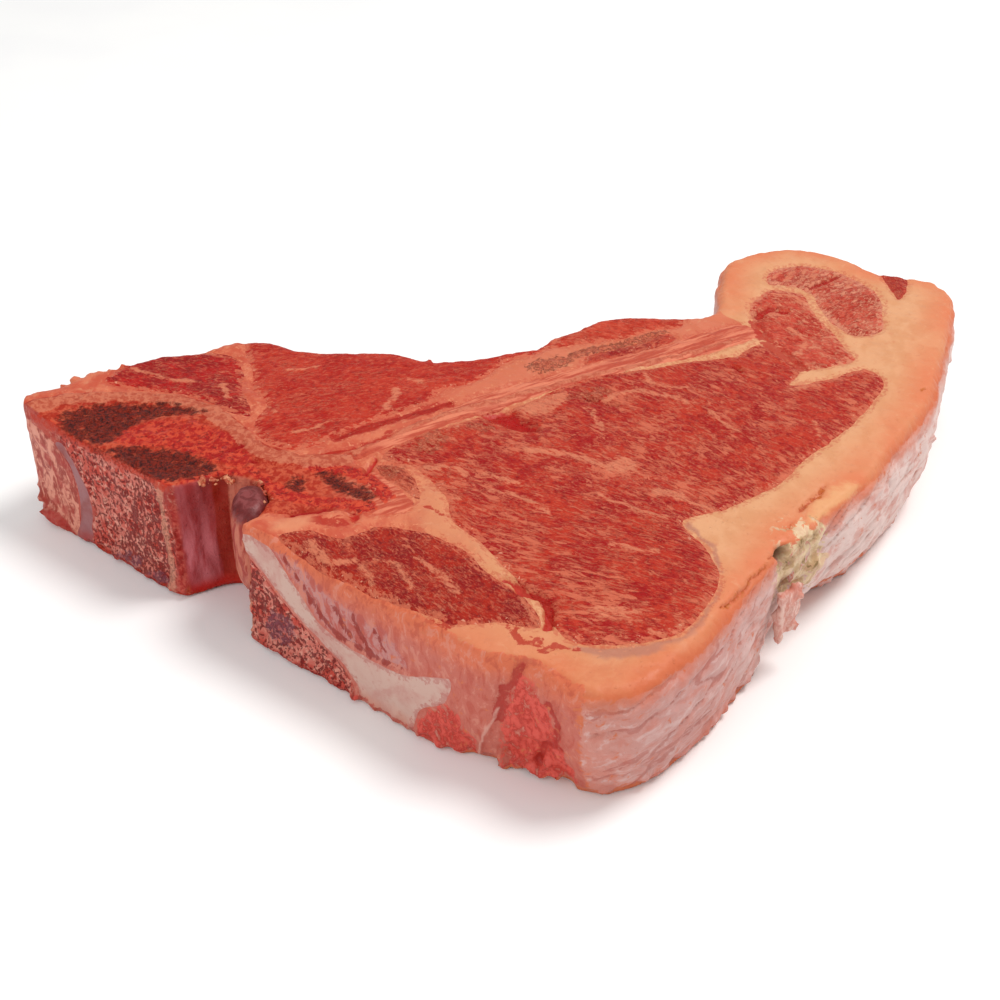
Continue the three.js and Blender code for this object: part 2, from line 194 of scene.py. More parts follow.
# %% [markdown]
# These are the lines of the cut face, in mm. They are the same as those of the solids,
# and each runs out past the edge of the steak where its muscle reaches that edge.

# %% Lines of the cut face
MUSCLES = {
    "tenderloin": [
        (-65.4, 46), (-65.2, 33), (-62.8, 23.5), (-60.6, 14), (-57.4, 8), (-58.8, -1),
        (-56, -6.6), (-50, -10.6), (-44.5, -9.4), (-35, -1.4), (-25.7, 4.8), (-19.6, 9),
        (-17.6, 14.4), (-10.4, 17.4), (-6.4, 22), (-2, 27.8), (4.5, 31.5), (10, 42), (-25, 52),
    ],
    "side_muscle": [
        (-95.8, 19), (-94.5, 23.5), (-89, 30), (-82.6, 32), (-73, 32), (-67.6, 29.8),
        (-64.8, 23), (-63.4, 15), (-61.6, 9), (-60.4, 2.6), (-64.6, 4.6), (-71, 9.6),
        (-79, 14.4), (-88, 15.8),
    ],
    "strip_loin": [
        (-29, -13.5), (-25.8, -7.9), (-17, -2.4), (-8, 3.6), (0, 8), (8.5, 14.6), (20, 21.2),
        (31, 24), (43, 28), (52, 30.2), (58.5, 36), (62, 31), (66, 23), (63, 16.4), (72, 18.8),
        (82.4, 24.2), (85.2, 18), (82, 10.6), (76, 1.8), (70.4, -5.2), (62, -13.8),
        (50.4, -27.4), (40, -34.6), (32.6, -38.6), (36, -46), (38.2, -54.6), (34.4, -64.4),
        (27, -72.8), (16, -74.2), (8.6, -73.4), (5, -67.5), (0.6, -59), (-4, -51.6),
        (-9, -43.6), (-14, -36.6), (-15.6, -28.5), (-20.2, -21), (-23.4, -16.8),
    ],
    "backbone_muscle": [
        (-48.6, -42.6), (-43, -40.8), (-36.5, -42.6), (-28, -38.6), (-19, -40.8),
        (-12, -46.6), (-6.8, -54), (-1.4, -60), (3, -70), (-4, -69.4), (-12, -69.6),
        (-22, -64.2), (-31, -57.6), (-39, -51.6), (-44.4, -46.8),
    ],
    "small_muscle": [
        (-30.6, -16.6), (-27, -16.4), (-22.6, -22), (-20.6, -29.4), (-24.6, -25.6),
        (-29.4, -20.6),
    ],
    "flank_muscle": [
        (5.5, 33.2), (14, 36.4), (24, 39.4), (32.7, 43.8), (40.6, 44.6), (41.2, 49),
        (40, 58), (18, 60), (4, 48), (2.5, 38),
    ],
    "bar_strip": [
        (-40.4, -6.8), (-33, -2.6), (-25, 2.2), (-16, 7.4), (-15.4, 9.4), (-24.6, 4),
        (-33, -0.6), (-39.6, -4.8),
    ],
    "back_strip": [
        (15.6, 26.6), (22, 29.6), (30, 33.2), (38.6, 38.8), (36.4, 41.6), (28.6, 37),
        (20.6, 33), (16, 30),
    ],
    "tail_inner_muscle": [
        (58.4, 50), (60.4, 59), (66, 64.8), (72.4, 62.6), (74.2, 55), (76.4, 46), (78.6, 38),
        (80.2, 28.6), (75, 25.4), (68, 24.6), (63.4, 33), (60.4, 41.6),
    ],
    "tail_outer_muscle": [
        (65.6, 68.4), (66.4, 74), (73, 78.2), (80, 77.4), (87, 72), (91.6, 64), (92, 53),
        (89.6, 42.4), (82.6, 40.4), (78.8, 45.4), (76.6, 54), (75, 62.4), (71, 67),
    ],
    "tail_spot": [(95.6, 82), (96, 70), (97, 59.4), (99.6, 63.6), (102, 70), (102, 82)],
}
BONE = {
    "vertebra": [
        (-120, 0), (-110.5, 7.4), (-104, 11.2), (-95, 13.6), (-83, 13.8), (-75, 11.4), (-68, 7),
        (-61.6, -0.6), (-56, -7.8), (-48, -12.6), (-44, -17), (-50, -25), (-66, -27), (-82, -38),
    ],
    "arch": [
        (-56, -20), (-46, -13.2), (-38, -13.6), (-32, -18.6), (-26, -25), (-21.6, -31.6),
        (-28, -34.4), (-40, -33.4), (-50, -34.2), (-57, -33),
    ],
    "bar": [
        (-46, -18), (-36, -14.6), (-28, -9.4), (-16, -1), (-5, 6.8), (6, 13.4), (18, 19.8),
        (29, 24.4), (41, 29.4), (51, 34.4), (58.4, 39.6), (60.4, 43), (55, 45.6), (45, 41.4),
        (36.5, 36), (28.8, 32.6), (21.2, 28.4), (13.5, 24.2), (5.8, 20), (-2, 16), (-9.6, 11.2),
        (-16, 5.4), (-25, -2.4), (-33, -8.4), (-44, -12.6),
    ],
}
UPPER_FAT = [
    (-130, -2), (-100, -8), (-62, -14), (-46, -15), (-34, -11), (-20, -0.6), (-5, 10.6),
    (13.5, 21), (29, 28.6), (45, 36.8), (57.4, 42.4), (52, 50), (47.6, 60), (-30, 70),
    (-130, 50),
]
CORNER_FAT_END = -89.4
SIDE_FAT_END = -57.4
SPINE_FACE = [
    (66, -3), (101.6, -3), (101, 3), (98, 6.4), (90, 10.4), (80, 16.8), (73, 22.4), (66, 23.4),
]
SPINE_BAND_FACE = [
    (71.4, 27.8), (71.4, 24.4), (74, 22.9), (80.6, 17.5), (90.4, 11.2), (98.6, 7.2),
    (102, 3.6), (102.6, -3), (115.6, -3), (118.6, 7), (124.6, 12.4), (126.6, 19.4),
    (118, 15.4), (112, 13.6), (99.6, 13.4), (93, 15), (88, 19), (83.4, 24), (79.8, 27.6),
]
DISC_FACE = [
    (11.4, 26), (14.8, 20.4), (16, 14), (15, 7), (12.4, -3), (17.8, -3), (18.6, 5), (20, 11),
    (19.4, 16), (16.8, 21), (13.4, 26),
]
LIGAMENT_FACE = [
    (-6, -3), (11.8, -3), (14.4, 7), (15.4, 14), (14.2, 20.2), (10.6, 26), (-6, 26),
]
OUTER_EDGE = [
    (-8, -78), (0.5, -79.6), (4.5, -83), (11.5, -88.9), (20, -87.8), (29, -80), (38, -69),
    (43.5, -59.5), (49.8, -50.6), (56.5, -41.5), (66, -31.5), (76, -20), (83, -9), (91, 3),
    (95.8, 11.5), (104, 34), (110, 50), (112.6, 63), (109.5, 70.6), (102, 73.5), (95, 75.8),
    (90.4, 82), (83, 88.6), (73.5, 90.5), (63.5, 87.6), (56.2, 82.6), (52.7, 72), (50.8, 58),
]
muscle_lines = {name: soft_line(points) for name, points in MUSCLES.items()}
bone_lines = {name: soft_line(points) for name, points in BONE.items()}
print("lines", {name: len(line) for name, line in muscle_lines.items()})

# %% [markdown]
# The cut face is full of marks: fat seams, wet pockets, cracks, brown marrow. Each is
# a line with its half width in mm, or an outline to fill where that is None. They could be
# painted in a picture, but lines in mm stay sharp at any distance and can be edited.

# %% Marks of the top face
TOP_MARKS = {
    "pale": [
        (0.8, [(1.6, -10.4), (4.6, -11.7), (10.9, -14), (14.3, -14.9), (17.2, -17.1), (20, -19.8)]),
        (None, [(22.3, -14), (23.7, -14.9), (24.9, -21), (21.8, -21.4), (17, -18.4)]),
        (0.7, [(-19.9, -18), (-17, -17.6), (-14.1, -18), (-11.4, -20)]),
        (0.5, [(-7.7, -20.2), (-4.3, -21.9), (-0.5, -23.8)]),
        (0.5, [(-6.2, -27), (-2.4, -28.3), (0.4, -30.3), (3.2, -32.8), (5.5, -35.2)]),
        (0.4, [(-21.9, -27.8), (-17.6, -27.8), (-13.3, -29.9)]),
        (0.5, [(17.8, -46.3), (20, -46.9), (22.7, -48), (26.2, -48.7)]),
        (None, [(11.9, -65.8), (15.4, -64.4), (22.2, -65.8), (21.2, -67.1), (13.2, -66.9)]),
        (0.4, [(23.5, -71.1), (25.9, -72.1), (29.9, -69.4)]),
        (0.9, [(28.4, -27.8), (31.2, -29.1), (33.8, -31.2), (36.9, -33.2), (39.6, -34.2)]),
        (0.5, [(16.5, -29.5), (21.9, -33.2), (26.3, -36), (29.5, -37.2)]),
        (0.7, [(19.5, 9.5), (23.4, 12.3), (27.9, 13.5), (32.1, 11.6), (38.6, 7.7)]),
        (0.5, [(29.8, 21.2), (30.7, 17.5), (34.4, 15.6), (38.7, 15)]),
        (0.3, [(16.8, 5.3), (17.5, 0.7), (18.8, -2.8)]),
        (0.4, [(42.6, 4.2), (45.5, -1.6), (47.7, -3.9)]),
        (0.3, [(65.8, 0), (65.3, -6.5)]),
        (None, [(-9, 4.6), (-2, 9.4), (6, 12.6), (12, 14), (9, 7), (3, 4), (-1.6, 7.6)]),
        (None, [(61, 14), (66, 16.6), (74, 21.4), (80, 23), (73, 19.6), (66, 13.4)]),
        (0.5, [(-29.7, 4.2), (-29.4, 8.3), (-28, 11.3), (-27.8, 14.4)]),
        (0.3, [(-25.9, 19), (-24.3, 18.7), (-22.6, 17.5)]),
        (0.3, [(-53.8, 22.1), (-50.3, 22.7), (-46.8, 23.9)]),
        (0.3, [(-50.7, -4.7), (-46.9, -3.6), (-42.7, -0.4)]),
        (0.25, [(-56.6, 6.8), (-54.6, 3.9)]),
        (0.4, [(-91.3, 24.5), (-85.4, 22.1), (-80.2, 19.7), (-75.4, 19.1)]),
        (0.5, [(-68.4, 16.2), (-66.4, 10.5)]),
        (0.4, [(-31.4, -51.3), (-29.7, -54.4), (-28, -59.6), (-24.1, -63.3)]),
        (0.4, [(-28.2, -49.7), (-25.3, -50.5), (-22.2, -55.9), (-21.1, -58.9)]),
        (0.4, [(-20.2, -49), (-17.2, -52.8), (-14.7, -56.6), (-11.9, -60.4)]),
        (0.7, [(-41.6, -45), (-40, -48.4), (-36.4, -50.6), (-33, -50)]),
        (0.35, [(0, -62.7), (1.7, -66.8), (3.6, -70)]),
        (0.4, [(67.4, 71), (69.6, 74.8)]),
        (0.5, [(70.6, 69.6), (73.4, 76)]),
        (0.4, [(73.6, 69), (76.6, 75.6)]),
        (0.5, [(77, 70.6), (79.6, 76)]),
        (0.4, [(81.6, 67), (84.4, 73.4)]),
        (0.4, [(84.8, 64.4), (87.4, 69.6)]),
        (0.8, [(65, 62), (69.6, 60.6), (73.6, 56.4)]),
        (0.5, [(67, 31), (69.6, 38), (67.4, 44)]),
    ],
    "deep": [
        (None, [(-8.5, 3.8), (-3.8, 7), (-1.7, 6.8), (0.3, 4.3), (4.3, -3), (1.7, -2.8), (-3.8, 0.8)]),
        (1.1, [(60.2, 50.2), (63.6, 54.4), (67, 53.2)]),
        (1.0, [(76.3, 66.6), (79.6, 68.1), (83.7, 71.9)]),
        (0.7, [(-3.2, -55.7), (0.9, -60.6), (3.5, -62), (5.1, -65.4), (4.4, -70.4)]),
        (0.5, [(50.8, 24.6), (52.4, 22.6)]),
        (0.4, [(15.2, 11.3), (18.2, 8.9), (21.9, 7.5)]),
        (0.35, [(-46.9, -34.7), (-44.6, -33.4), (-39.2, -32.4)]),
        (None, [(-35.6, -34.2), (-33.2, -33.8), (-32.5, -35.9), (-33.6, -37.4)]),
        (0.35, [(-31.3, -13.2), (-31.7, -16.4), (-32.6, -19.6)]),
        (0.3, [(-57.8, -14.8), (-56.6, -15.3)]),
        (0.4, [(-66.2, -12.8), (-63.7, -11.3), (-60.2, -8.8)]),
    ],
    "dull": [
        (None, [(-22.8, -8.5), (-20.5, -4.8), (-16.5, -3.3), (-15.9, -6.7), (-18.6, -12.6),
            (-21.7, -11.7)]),
        (None, [(-12, -0.6), (-8.9, 0.4), (-5.4, -1.2), (-6.4, -3.5)]),
        (None, [(-29.4, -17), (-27, -16.6), (-24.6, -18.4), (-26.6, -21), (-29, -20.2)]),
        (None, [(13.6, 13), (19.6, 15.6), (22, 13), (17, 9.6), (11, 9.6)]),
        (None, [(2.3, 24.4), (4.9, 28.4), (8.9, 29.4), (13.4, 29.7), (11.3, 25.8), (6.4, 22.2)]),
        (1.1, [(13.4, 30.6), (17.9, 33.6), (23.7, 36.6), (29.9, 39.4), (36, 42.4)]),
        (0.6, [(31.7, 28.2), (33.8, 29.6), (39.4, 32.4), (44.3, 35)]),
    ],
    "lean": [
        (1.2, [(-40, -5.8), (-33, -1.6), (-25, 3), (-16, 8.2)]),
        (0.5, [(-43, -12.2), (-37.4, -10.4), (-33.4, -8.9), (-29.9, -7), (-27.6, -4.4)]),
        (0.3, [(-19.3, -32.8), (-17.4, -33.6), (-14.5, -36)]),
        (1.0, [(-26, -65.6), (-20, -68.2), (-14, -70)]),
        (0.5, [(3.1, -76.7), (6.7, -75.3), (9.4, -76)]),
        (None, [(-43, -37.6), (-39.5, -35.6), (-36.5, -35.6), (-34.3, -38.6), (-38, -39.6)]),
        (0.9, [(-2, -71), (0, -74), (3, -74.6)]),
        (1.5, [(59.2, 47), (60.8, 38), (63.4, 31.4), (67.2, 24.4)]),
    ],
    "crack": [
        (0.6, [(63.3, -25.2), (60.8, -28.6), (58.6, -31.2), (56.8, -34)]),
        (0.3, [(55.2, -37.6), (53.6, -40.4)]),
        (0.25, [(51.2, -49.2), (47.9, -51.5), (43.7, -56.4), (40.6, -61.2), (37.4, -64.7)]),
        (0.3, [(50.6, -47.6), (48.4, -48.8)]),
        (0.3, [(92.7, 13.5), (94.1, 14.7)]),
    ],
    "grey": [
        (None, [(8.4, -74.8), (16, -75.2), (27, -73.6), (34, -66), (38.6, -57.6), (37, -61.6),
            (31.4, -71.6), (23, -77), (14.4, -78.4)]),
        (0.3, [(33.5, -39.4), (37.2, -46), (38.8, -54)]),
    ],
    "marrow": [
        (None, [(-103, -0.6), (-101.5, 5.6), (-96, 9), (-87.7, 9.9), (-80.6, 9.2), (-68.6, 3.6),
            (-79.5, 3.4), (-85.7, 0.4), (-88.2, -4.7), (-90.9, -8.4), (-95, -7), (-99.7, -3.8)]),
        (None, [(-91, -9.4), (-82, -8.8), (-74, -10.2), (-66.4, -14.6), (-64.4, -18.6), (-70.6, -22.4),
            (-77.6, -22), (-84, -16)]),
        (None, [(-49.2, -23.7), (-46.4, -20), (-44.5, -24.2), (-46.3, -27), (-48.4, -26.4)]),
        (None, [(-43.1, -19), (-39, -18.6), (-36.1, -22.2), (-31.3, -25.6), (-29.5, -29.3), (-31.4, -31),
            (-35.1, -28.4), (-40.7, -23.2)]),
    ],
    "ember": [
        (None, [(-86, 0.6), (-79.3, 2.4), (-71.9, 0.6), (-63.3, -5), (-57.4, -12.4), (-58.9, -17.4),
            (-66.4, -15), (-77.2, -9.6), (-88.2, -7.8), (-89, -4)]),
        (1.6, [(-108, 1.4), (-99, -6), (-89, -14), (-79, -21.6), (-74.6, -24.8)]),
        (2.0, [(-51.6, -25), (-46, -28.4), (-38, -30.2), (-31.6, -32)]),
        (1.8, [(-44, -16.8), (-36, -18.6), (-31, -23.4), (-28, -28.4)]),
        (1.2, [(-70, -23.4), (-62, -19.6), (-56, -19), (-53, -24)]),
    ],
    "ochre": [
        (None, [(56.6, -40), (58, -33.4), (63, -27), (69, -22.6), (72.6, -24.4), (67, -32),
            (61.6, -37.6)]),
    ],
    "rim": [
        (2.1, [(-111, 3.4), (-104, 8.6), (-95.5, 11.6), (-88.4, 12.4), (-81.1, 11.3), (-74.7, 8.2),
            (-67.3, 2.6), (-61, -5.4), (-55, -12.4), (-47, -14.6), (-38, -14.8)]),
        (0.7, [(-36, -12), (-20, 0.8), (-4, 10), (14, 19.4), (32, 27), (52, 37)]),
    ],
    "gristle": [
        (None, [(-50, -40.6), (-49.5, -37.6), (-46.8, -35.7), (-43.4, -35.7), (-42, -37.4),
            (-44.6, -40.6)]),
    ],
}
print("marks of the top face", {name: len(marks) for name, marks in TOP_MARKS.items()})

# %% [markdown]
# The sawn face has its own marks: spongy bone, the hard walls of the vertebrae, and the
# lilac skin over the fat. Here a point is given by its distance along the sawn edge and its
# height above the floor.

# %% Marks of the sawn face
SAWN_MARKS = {
    "spongy": [
        (None, [(18.6, -1), (20.6, 11), (18, 20), (14, 26), (12.6, 29), (45, 29.4), (45.2, -1)]),
        (None, [(70.6, -1), (101, -1), (98, 6.4), (90, 10.8), (80, 16.6), (74, 21.4), (70.8, 20)]),
    ],
    "cortex": [
        (0.8, [(46.6, -1), (46.4, 14), (46.2, 30)]),
        (0.7, [(70.6, -1), (70.4, 14), (70.6, 26)]),
        (0.5, [(53.6, 2), (53.4, 14), (53.6, 29)]),
    ],
    "blue": [
        (None, [(27, 1.4), (35, 5.4), (36, 3), (30, -0.4)]),
        (None, [(37.4, 0.6), (42, 4.8), (45, 3), (44, 0)]),
        (None, [(76, 5), (79, 12), (84, 10.4), (82, 4)]),
    ],
    "porous": [
        (None, [(30, 1), (32, 12), (39, 25), (44.6, 27), (44.6, 1)]),
        (None, [(72, 8), (72.4, 20), (79, 16), (84, 9), (78, 4)]),
    ],
    "ember": [
        (0.9, [(4, 29.6), (20, 29.4), (34, 29.2), (48, 29.4)]),
    ],
    "raw": [
        (1.2, [(16, 0.2), (30, 0.4), (44, 0.2), (52, 0.6)]),
        (1.4, [(0, 2), (5, 3), (11, 1)]),
        (1.4, [(70, 0.2), (84, 0), (101, 0.2), (118, 0)]),
        (0.8, [(49.4, 0), (49.8, 14), (49.2, 24)]),
        (None, [(117.6, -1), (119.6, 7), (126, 12), (129.6, 8), (131, -1)]),
        (None, [(137.6, -1), (138, 16), (141, 26), (147, 20), (150, 12), (151, -1)]),
    ],
    "fascia": [
        (None, [(80, 27.6), (84, 24), (88.5, 19.4), (93, 15.4), (99.6, 13.8), (110, 14), (116, 16.4),
            (112, 22), (104, 23.2), (94, 25), (86, 28.4)]),
    ],
    "streak": [
        (0.35, [(88, 23), (92, 18.6), (95, 16.4)]),
        (0.4, [(97, 22), (99.4, 18), (101, 16)]),
        (0.4, [(101.6, 22.4), (104, 18), (106.6, 15.6)]),
        (0.3, [(107, 21.4), (110, 17.6)]),
        (0.5, [(84, 27), (89.6, 20.4), (96, 15.4), (104, 14.4), (114, 15.2)]),
    ],
    "cleft": [
        (0.9, [(136.6, 14), (138, 20), (140.4, 28)]),
        (0.6, [(147.6, 12), (149, 18), (146.4, 22)]),
        (0.5, [(143, 4), (145, 10), (149, 12)]),
    ],
    "membrane": [
        (0.35, [(131, 0), (133.4, 8), (137, 17)]),
        (None, [(0, 26), (6, 28), (13, 25), (11, 22), (2, 23)]),
    ],
}
print("marks of the sawn face", {name: len(marks) for name, marks in SAWN_MARKS.items()})

# %% [markdown]
# The distance from a mark's line becomes a mask that is 1 on the mark and fades at its
# edge. Marrow and stained fat have no sharp edge, so they fade over a longer way.

# %% Soft masks from marks
MARK_STEP = 1.5
MARK_OUTSIDE = 1.1
MARK_INSIDE = 1.5
SOFT_EDGES = {"marrow": 2.4, "ochre": 3.4, "grey": 1.2}
THROUGH_NAMES = ["ember", "gristle", "marrow", "rim"]


def marked(places, marks, names):
    """Soft masks, 0 to 1, of the named marks at places on a flat face."""
    masks = {name: np.zeros(len(places)) for name in names}
    for name in names:
        inside = SOFT_EDGES.get(name, MARK_INSIDE)
        for half, points in marks[name]:
            line = soft_line(points, MARK_STEP, closed=half is None)
            reach = 2.5 if half is None else half + 1.5
            near = ((places > line.min(axis=0) - reach) & (places < line.max(axis=0) + reach)).all(axis=1)
            if not near.any():
                continue
            if half is None:
                value = smooth(-MARK_OUTSIDE, inside, depth_inside(places[near], line))
            else:
                value = smooth(half + 0.8, half - 0.5, distance_to(places[near], line, closed=False))
            masks[name][near] = np.maximum(masks[name][near], value)
    return masks


print("marks that run through to the underside", THROUGH_NAMES)

# %% [markdown]
# The pieces are shaped as arrays of points, so a few helpers carry points, normals and
# modifiers between arrays, meshes and objects. Modifiers make an even surface from rough
# forms, which by hand would take a long retopology.

# %% Mesh helpers
def mesh_points(mesh):
    """The points of a mesh in mm."""
    values = np.empty(len(mesh.vertices) * 3)
    mesh.vertices.foreach_get("co", values)
    return values.reshape(-1, 3) / MM


def set_mesh_points(mesh, points):
    mesh.vertices.foreach_set("co", (points * MM).ravel())
    mesh.update()


def mesh_normals(mesh):
    values = np.empty(len(mesh.vertices) * 3)
    mesh.vertices.foreach_get("normal", values)
    return values.reshape(-1, 3)


def new_object(name, mesh):
    piece = bpy.data.objects.new(name, mesh)
    bpy.context.scene.collection.objects.link(piece)
    return piece


def applied(piece, name):
    """The piece's mesh with its modifiers worked in, under a new name."""
    graph = bpy.context.evaluated_depsgraph_get()
    mesh = bpy.data.meshes.new_from_object(piece.evaluated_get(graph))
    mesh.name = name
    bpy.data.objects.remove(piece)
    return mesh


def remeshed(form, voxel, softening):
    """One even closed surface round everything in a bmesh."""
    mesh = bpy.data.meshes.new("form")
    form.to_mesh(mesh)
    form.free()
    piece = new_object("form", mesh)
    remesh = piece.modifiers.new("even", "REMESH")
    remesh.mode = "VOXEL"
    remesh.voxel_size = voxel * MM
    if softening:
        soften = piece.modifiers.new("soften", "SMOOTH")
        soften.iterations = softening
        soften.factor = 0.5
    return applied(piece, "form")


def lumps_mesh(lumps, random, rough=0.5):
    """One mesh of small uneven lumps, each given by its centre and radii in mm."""
    ball = bmesh.new()
    bmesh.ops.create_icosphere(ball, subdivisions=2, radius=1.0)
    shape = np.array([vertex.co for vertex in ball.verts])
    sides = np.array([[vertex.index for vertex in face.verts] for face in ball.faces])
    ball.free()
    points = []
    for centre, radii in lumps:
        turn = random.uniform(0, math.pi)
        cos, sin = math.cos(turn), math.sin(turn)
        spin = np.array([[cos, -sin, 0], [sin, cos, 0], [0, 0, 1]])
        uneven = shape * radii * (1 + rough * (random.random((len(shape), 1)) - 0.5))
        points.append(uneven @ spin.T + centre)
    faces = [sides + k * len(shape) for k in range(len(lumps))]
    mesh = bpy.data.meshes.new("lumps")
    mesh.from_pydata((np.concatenate(points) * MM).tolist(), [], np.concatenate(faces).tolist())
    return mesh


def without_scraps(mesh):
    """Only the biggest part of a mesh, without crumbs that touch nothing."""
    form = bmesh.new()
    form.from_mesh(mesh)
    form.verts.ensure_lookup_table()
    part = np.full(len(form.verts), -1)
    for seed in form.verts:
        if part[seed.index] >= 0:
            continue
        part[seed.index] = seed.index
        open_verts = [seed]
        while open_verts:
            for edge in open_verts.pop().link_edges:
                for vertex in edge.verts:
                    if part[vertex.index] < 0:
                        part[vertex.index] = seed.index
                        open_verts.append(vertex)
    biggest = np.bincount(part).argmax()
    scraps = [form.verts[i] for i in np.flatnonzero(part != biggest)]
    bmesh.ops.delete(form, geom=scraps, context="VERTS")
    form.to_mesh(mesh)
    form.free()
    return mesh


print("mesh helpers ready")

# %% [markdown]
# The skin is the whole steak as one closed surface. It could be lofted again here, but the
# solids already hold the true shape, so they are swollen until their gaps close, and a
# voxel remesh melts them into one even surface, fine enough for small relief. Crumbs of
# bone and meat that the saw leaves along the lower edge go in before a second remesh.

# %% Skin of the whole steak
SWELL = 0.22
FIRST_VOXEL = 0.8
FIRST_SOFTENING = 5
PULL_IN = 0.45
VOXEL = 0.52
SOFTENING = 12
FLOOR_CRUMBS = 330
CRUMB_SIZES = (0.4, 1.15)
# crumbs and small bumps that show on the outline: x, y, z, size
EDGE_CRUMBS = [
    (-103.6, 20.2, 29.4, 1.5), (-100.4, 22.2, 29.6, 1.2), (-98.4, 22.8, 29.8, 1.1), (-105.6, 17.2, 29.4, 1.2),
    (-93.4, 26.2, 29.8, 1.1), (-96.4, 24.8, 29.0, 1.3), (-21, 28.9, 29.8, 0.9), (-20.4, 29.3, 28.6, 0.8),
    (-111.4, 9.6, 28.6, 1.2), (-110.4, 4.4, 3.2, 1.7), (-108.6, 3.0, 2.4, 1.6), (-111.6, 5.4, 6.4, 1.4),
    (-107.0, 1.6, 1.8, 1.5), (-105.4, 0.6, 1.6, 1.3), (-112.0, 6.6, 9.4, 1.0), (107.6, 42.2, 22, 0.9),
    (95.4, 9.4, 20, 1.1), (95.8, 10.4, 18.6, 0.8), (3.2, -78.4, 1.8, 1.6), (-0.6, -76.6, 1.6, 1.5),
    (-3.6, -76.2, 1.6, 1.6), (6.4, -80.4, 2.2, 1.6), (5.2, -79.4, 5.0, 1.5), (1.4, -77.2, 4.2, 1.5),
]


def floor_crumbs(points, normals, random):
    """Centres and radii of crumbs along the lower edge, with extra ones on the sawn face."""
    low = np.flatnonzero((points[:, 2] > 0.6) & (points[:, 2] < 3) & (np.abs(normals[:, 2]) < 0.6))
    sawn = on_sawn_face(points[low])[:, 2] < 2
    chosen = np.concatenate([
        random.choice(low, FLOOR_CRUMBS, replace=False),
        random.choice(low[sawn], FLOOR_CRUMBS // 2, replace=False),
    ])
    crumbs = []
    for index in chosen:
        size = random.uniform(*CRUMB_SIZES)
        centre = points[index] - normals[index] * 0.25 * size
        centre[2] = max(centre[2], size * 0.9)
        crumbs.append((centre, (size * 1.3, size, size * 0.9)))
    return crumbs


def whole_skin():
    """The solids melted into one surface, with crumbs along the lower edge."""
    solids = bmesh.new()
    for name, node in frame["nodes"].items():
        if name != "spinal_nerve":
            solids.from_mesh(node.data)
    bmesh.ops.remove_doubles(solids, verts=solids.verts, dist=1e-6)
    solids.normal_update()
    for vertex in solids.verts:
        vertex.co += vertex.normal * SWELL * MM
    plain = remeshed(solids, FIRST_VOXEL, FIRST_SOFTENING)
    points = mesh_points(plain)
    normals = mesh_normals(plain)
    points -= normals * PULL_IN
    set_mesh_points(plain, points)
    random = np.random.default_rng(5)
    crumbs = floor_crumbs(points, normals, random)
    crumbs += [((x, y, z), (size * 1.2, size, size)) for x, y, z, size in EDGE_CRUMBS]
    form = bmesh.new()
    form.from_mesh(plain)
    form.from_mesh(lumps_mesh(crumbs, random))
    return without_scraps(remeshed(form, VOXEL, SOFTENING))


skin_mesh = whole_skin()
print("skin", len(skin_mesh.vertices), "points")

# %% [markdown]
# A drawn line turns ragged when points are moved sideways by a soft noise before they are
# compared with it. The same wandering later bends the cutting forms, so that colour and
# seam stay together.

# %% Ragged lines and folds
EDGE_REACH = 3.0


def wandered(points, size, amount, shift=0.0):
    """Points moved sideways by a soft noise, which makes a drawn line ragged."""
    moves = [noise(points, size, 2, shift + 3.1 * axis) for axis in range(2)]
    moved = points.copy()
    moved[:, 0] += amount * moves[0]
    moved[:, 1] += amount * moves[1]
    return moved


def seam_wander(points):
    """The way a seam strays from its soft line. The cutting forms use it too."""
    moved = wandered(points, 7.0, 0.55, 12.0)
    return wandered(moved, 2.2, 0.3, 21.0)


def bulges(points):
    """Folds of the fat's outer skin: 0 in the creases, which run along the edge, and 1 between."""
    x, y, z = points.T
    lean = 0.12 + 0.25 * smooth(35, 70, x)
    along = (x - 0.7 * y) / 15.0
    run = np.column_stack([along, (x + y) / 26.0, (z - lean * x + 1.2 * np.sin(along * 3.1)) / 4.2])
    return np.clip(np.abs(noise(run, 1.0, 3, 4.0)) * 2.6, 0, 1)


def seam_closeness(points):
    """1 on the outline of a muscle or bone and 0 a few mm away."""
    steady = (2 * points - seam_wander(points))[:, :2]
    closeness = np.zeros(len(points))
    for line in [*muscle_lines.values(), *bone_lines.values()]:
        low, high = line.min(axis=0) - EDGE_REACH, line.max(axis=0) + EDGE_REACH
        near = ((steady > low) & (steady < high)).all(axis=1)
        if near.any():
            value = smooth(EDGE_REACH, 0.0, distance_to(steady[near], line[::2]))
            closeness[near] = np.maximum(closeness[near], value)
    return closeness


print("seams fade over", EDGE_REACH, "mm")

# %% [markdown]
# Where a point lies decides how the surface looks there: on the cut face, on the sawn
# backbone, inside the spinal canal, or on the outer side. These fields are worked out once,
# on the skin. They give its relief, and every piece takes over the numbers of its own part
# of the skin for its colours.

# %% Fields of the surface
OUTWARD = np.array([*SAWN_OUTWARD, 0.0])
CANAL_SPAN = (49.6, 70.8)
RAGGED_END = 122.0
SEEN = 0.01
HOLLOW_CENTRE = (57.5, -41.5, 22.0)
HOLLOW_REACH = (12.0, 11.0, 13.5)
# a small hole above the mould: it sinks in, and its dark colour is painted shade
HOLE_CENTRE = (52.2, -46.6, 28.4)
HOLE_REACH = (2.8, 2.4, 3.0)


def add_marks(fields, side, places, marks, names):
    """Adds the named marks of a flat side, which is itself given as a soft mask."""
    seen = side > SEEN
    for name, value in marked(places[seen], marks, names).items():
        fields[name][seen] = np.maximum(fields[name][seen], value * side[seen])


def round_spot(points, centre, reach, outer, inner):
    """1 round a centre and 0 farther away, measured in shares of its reach."""
    return smooth(outer, inner, np.linalg.norm((points - centre) / reach, axis=1))


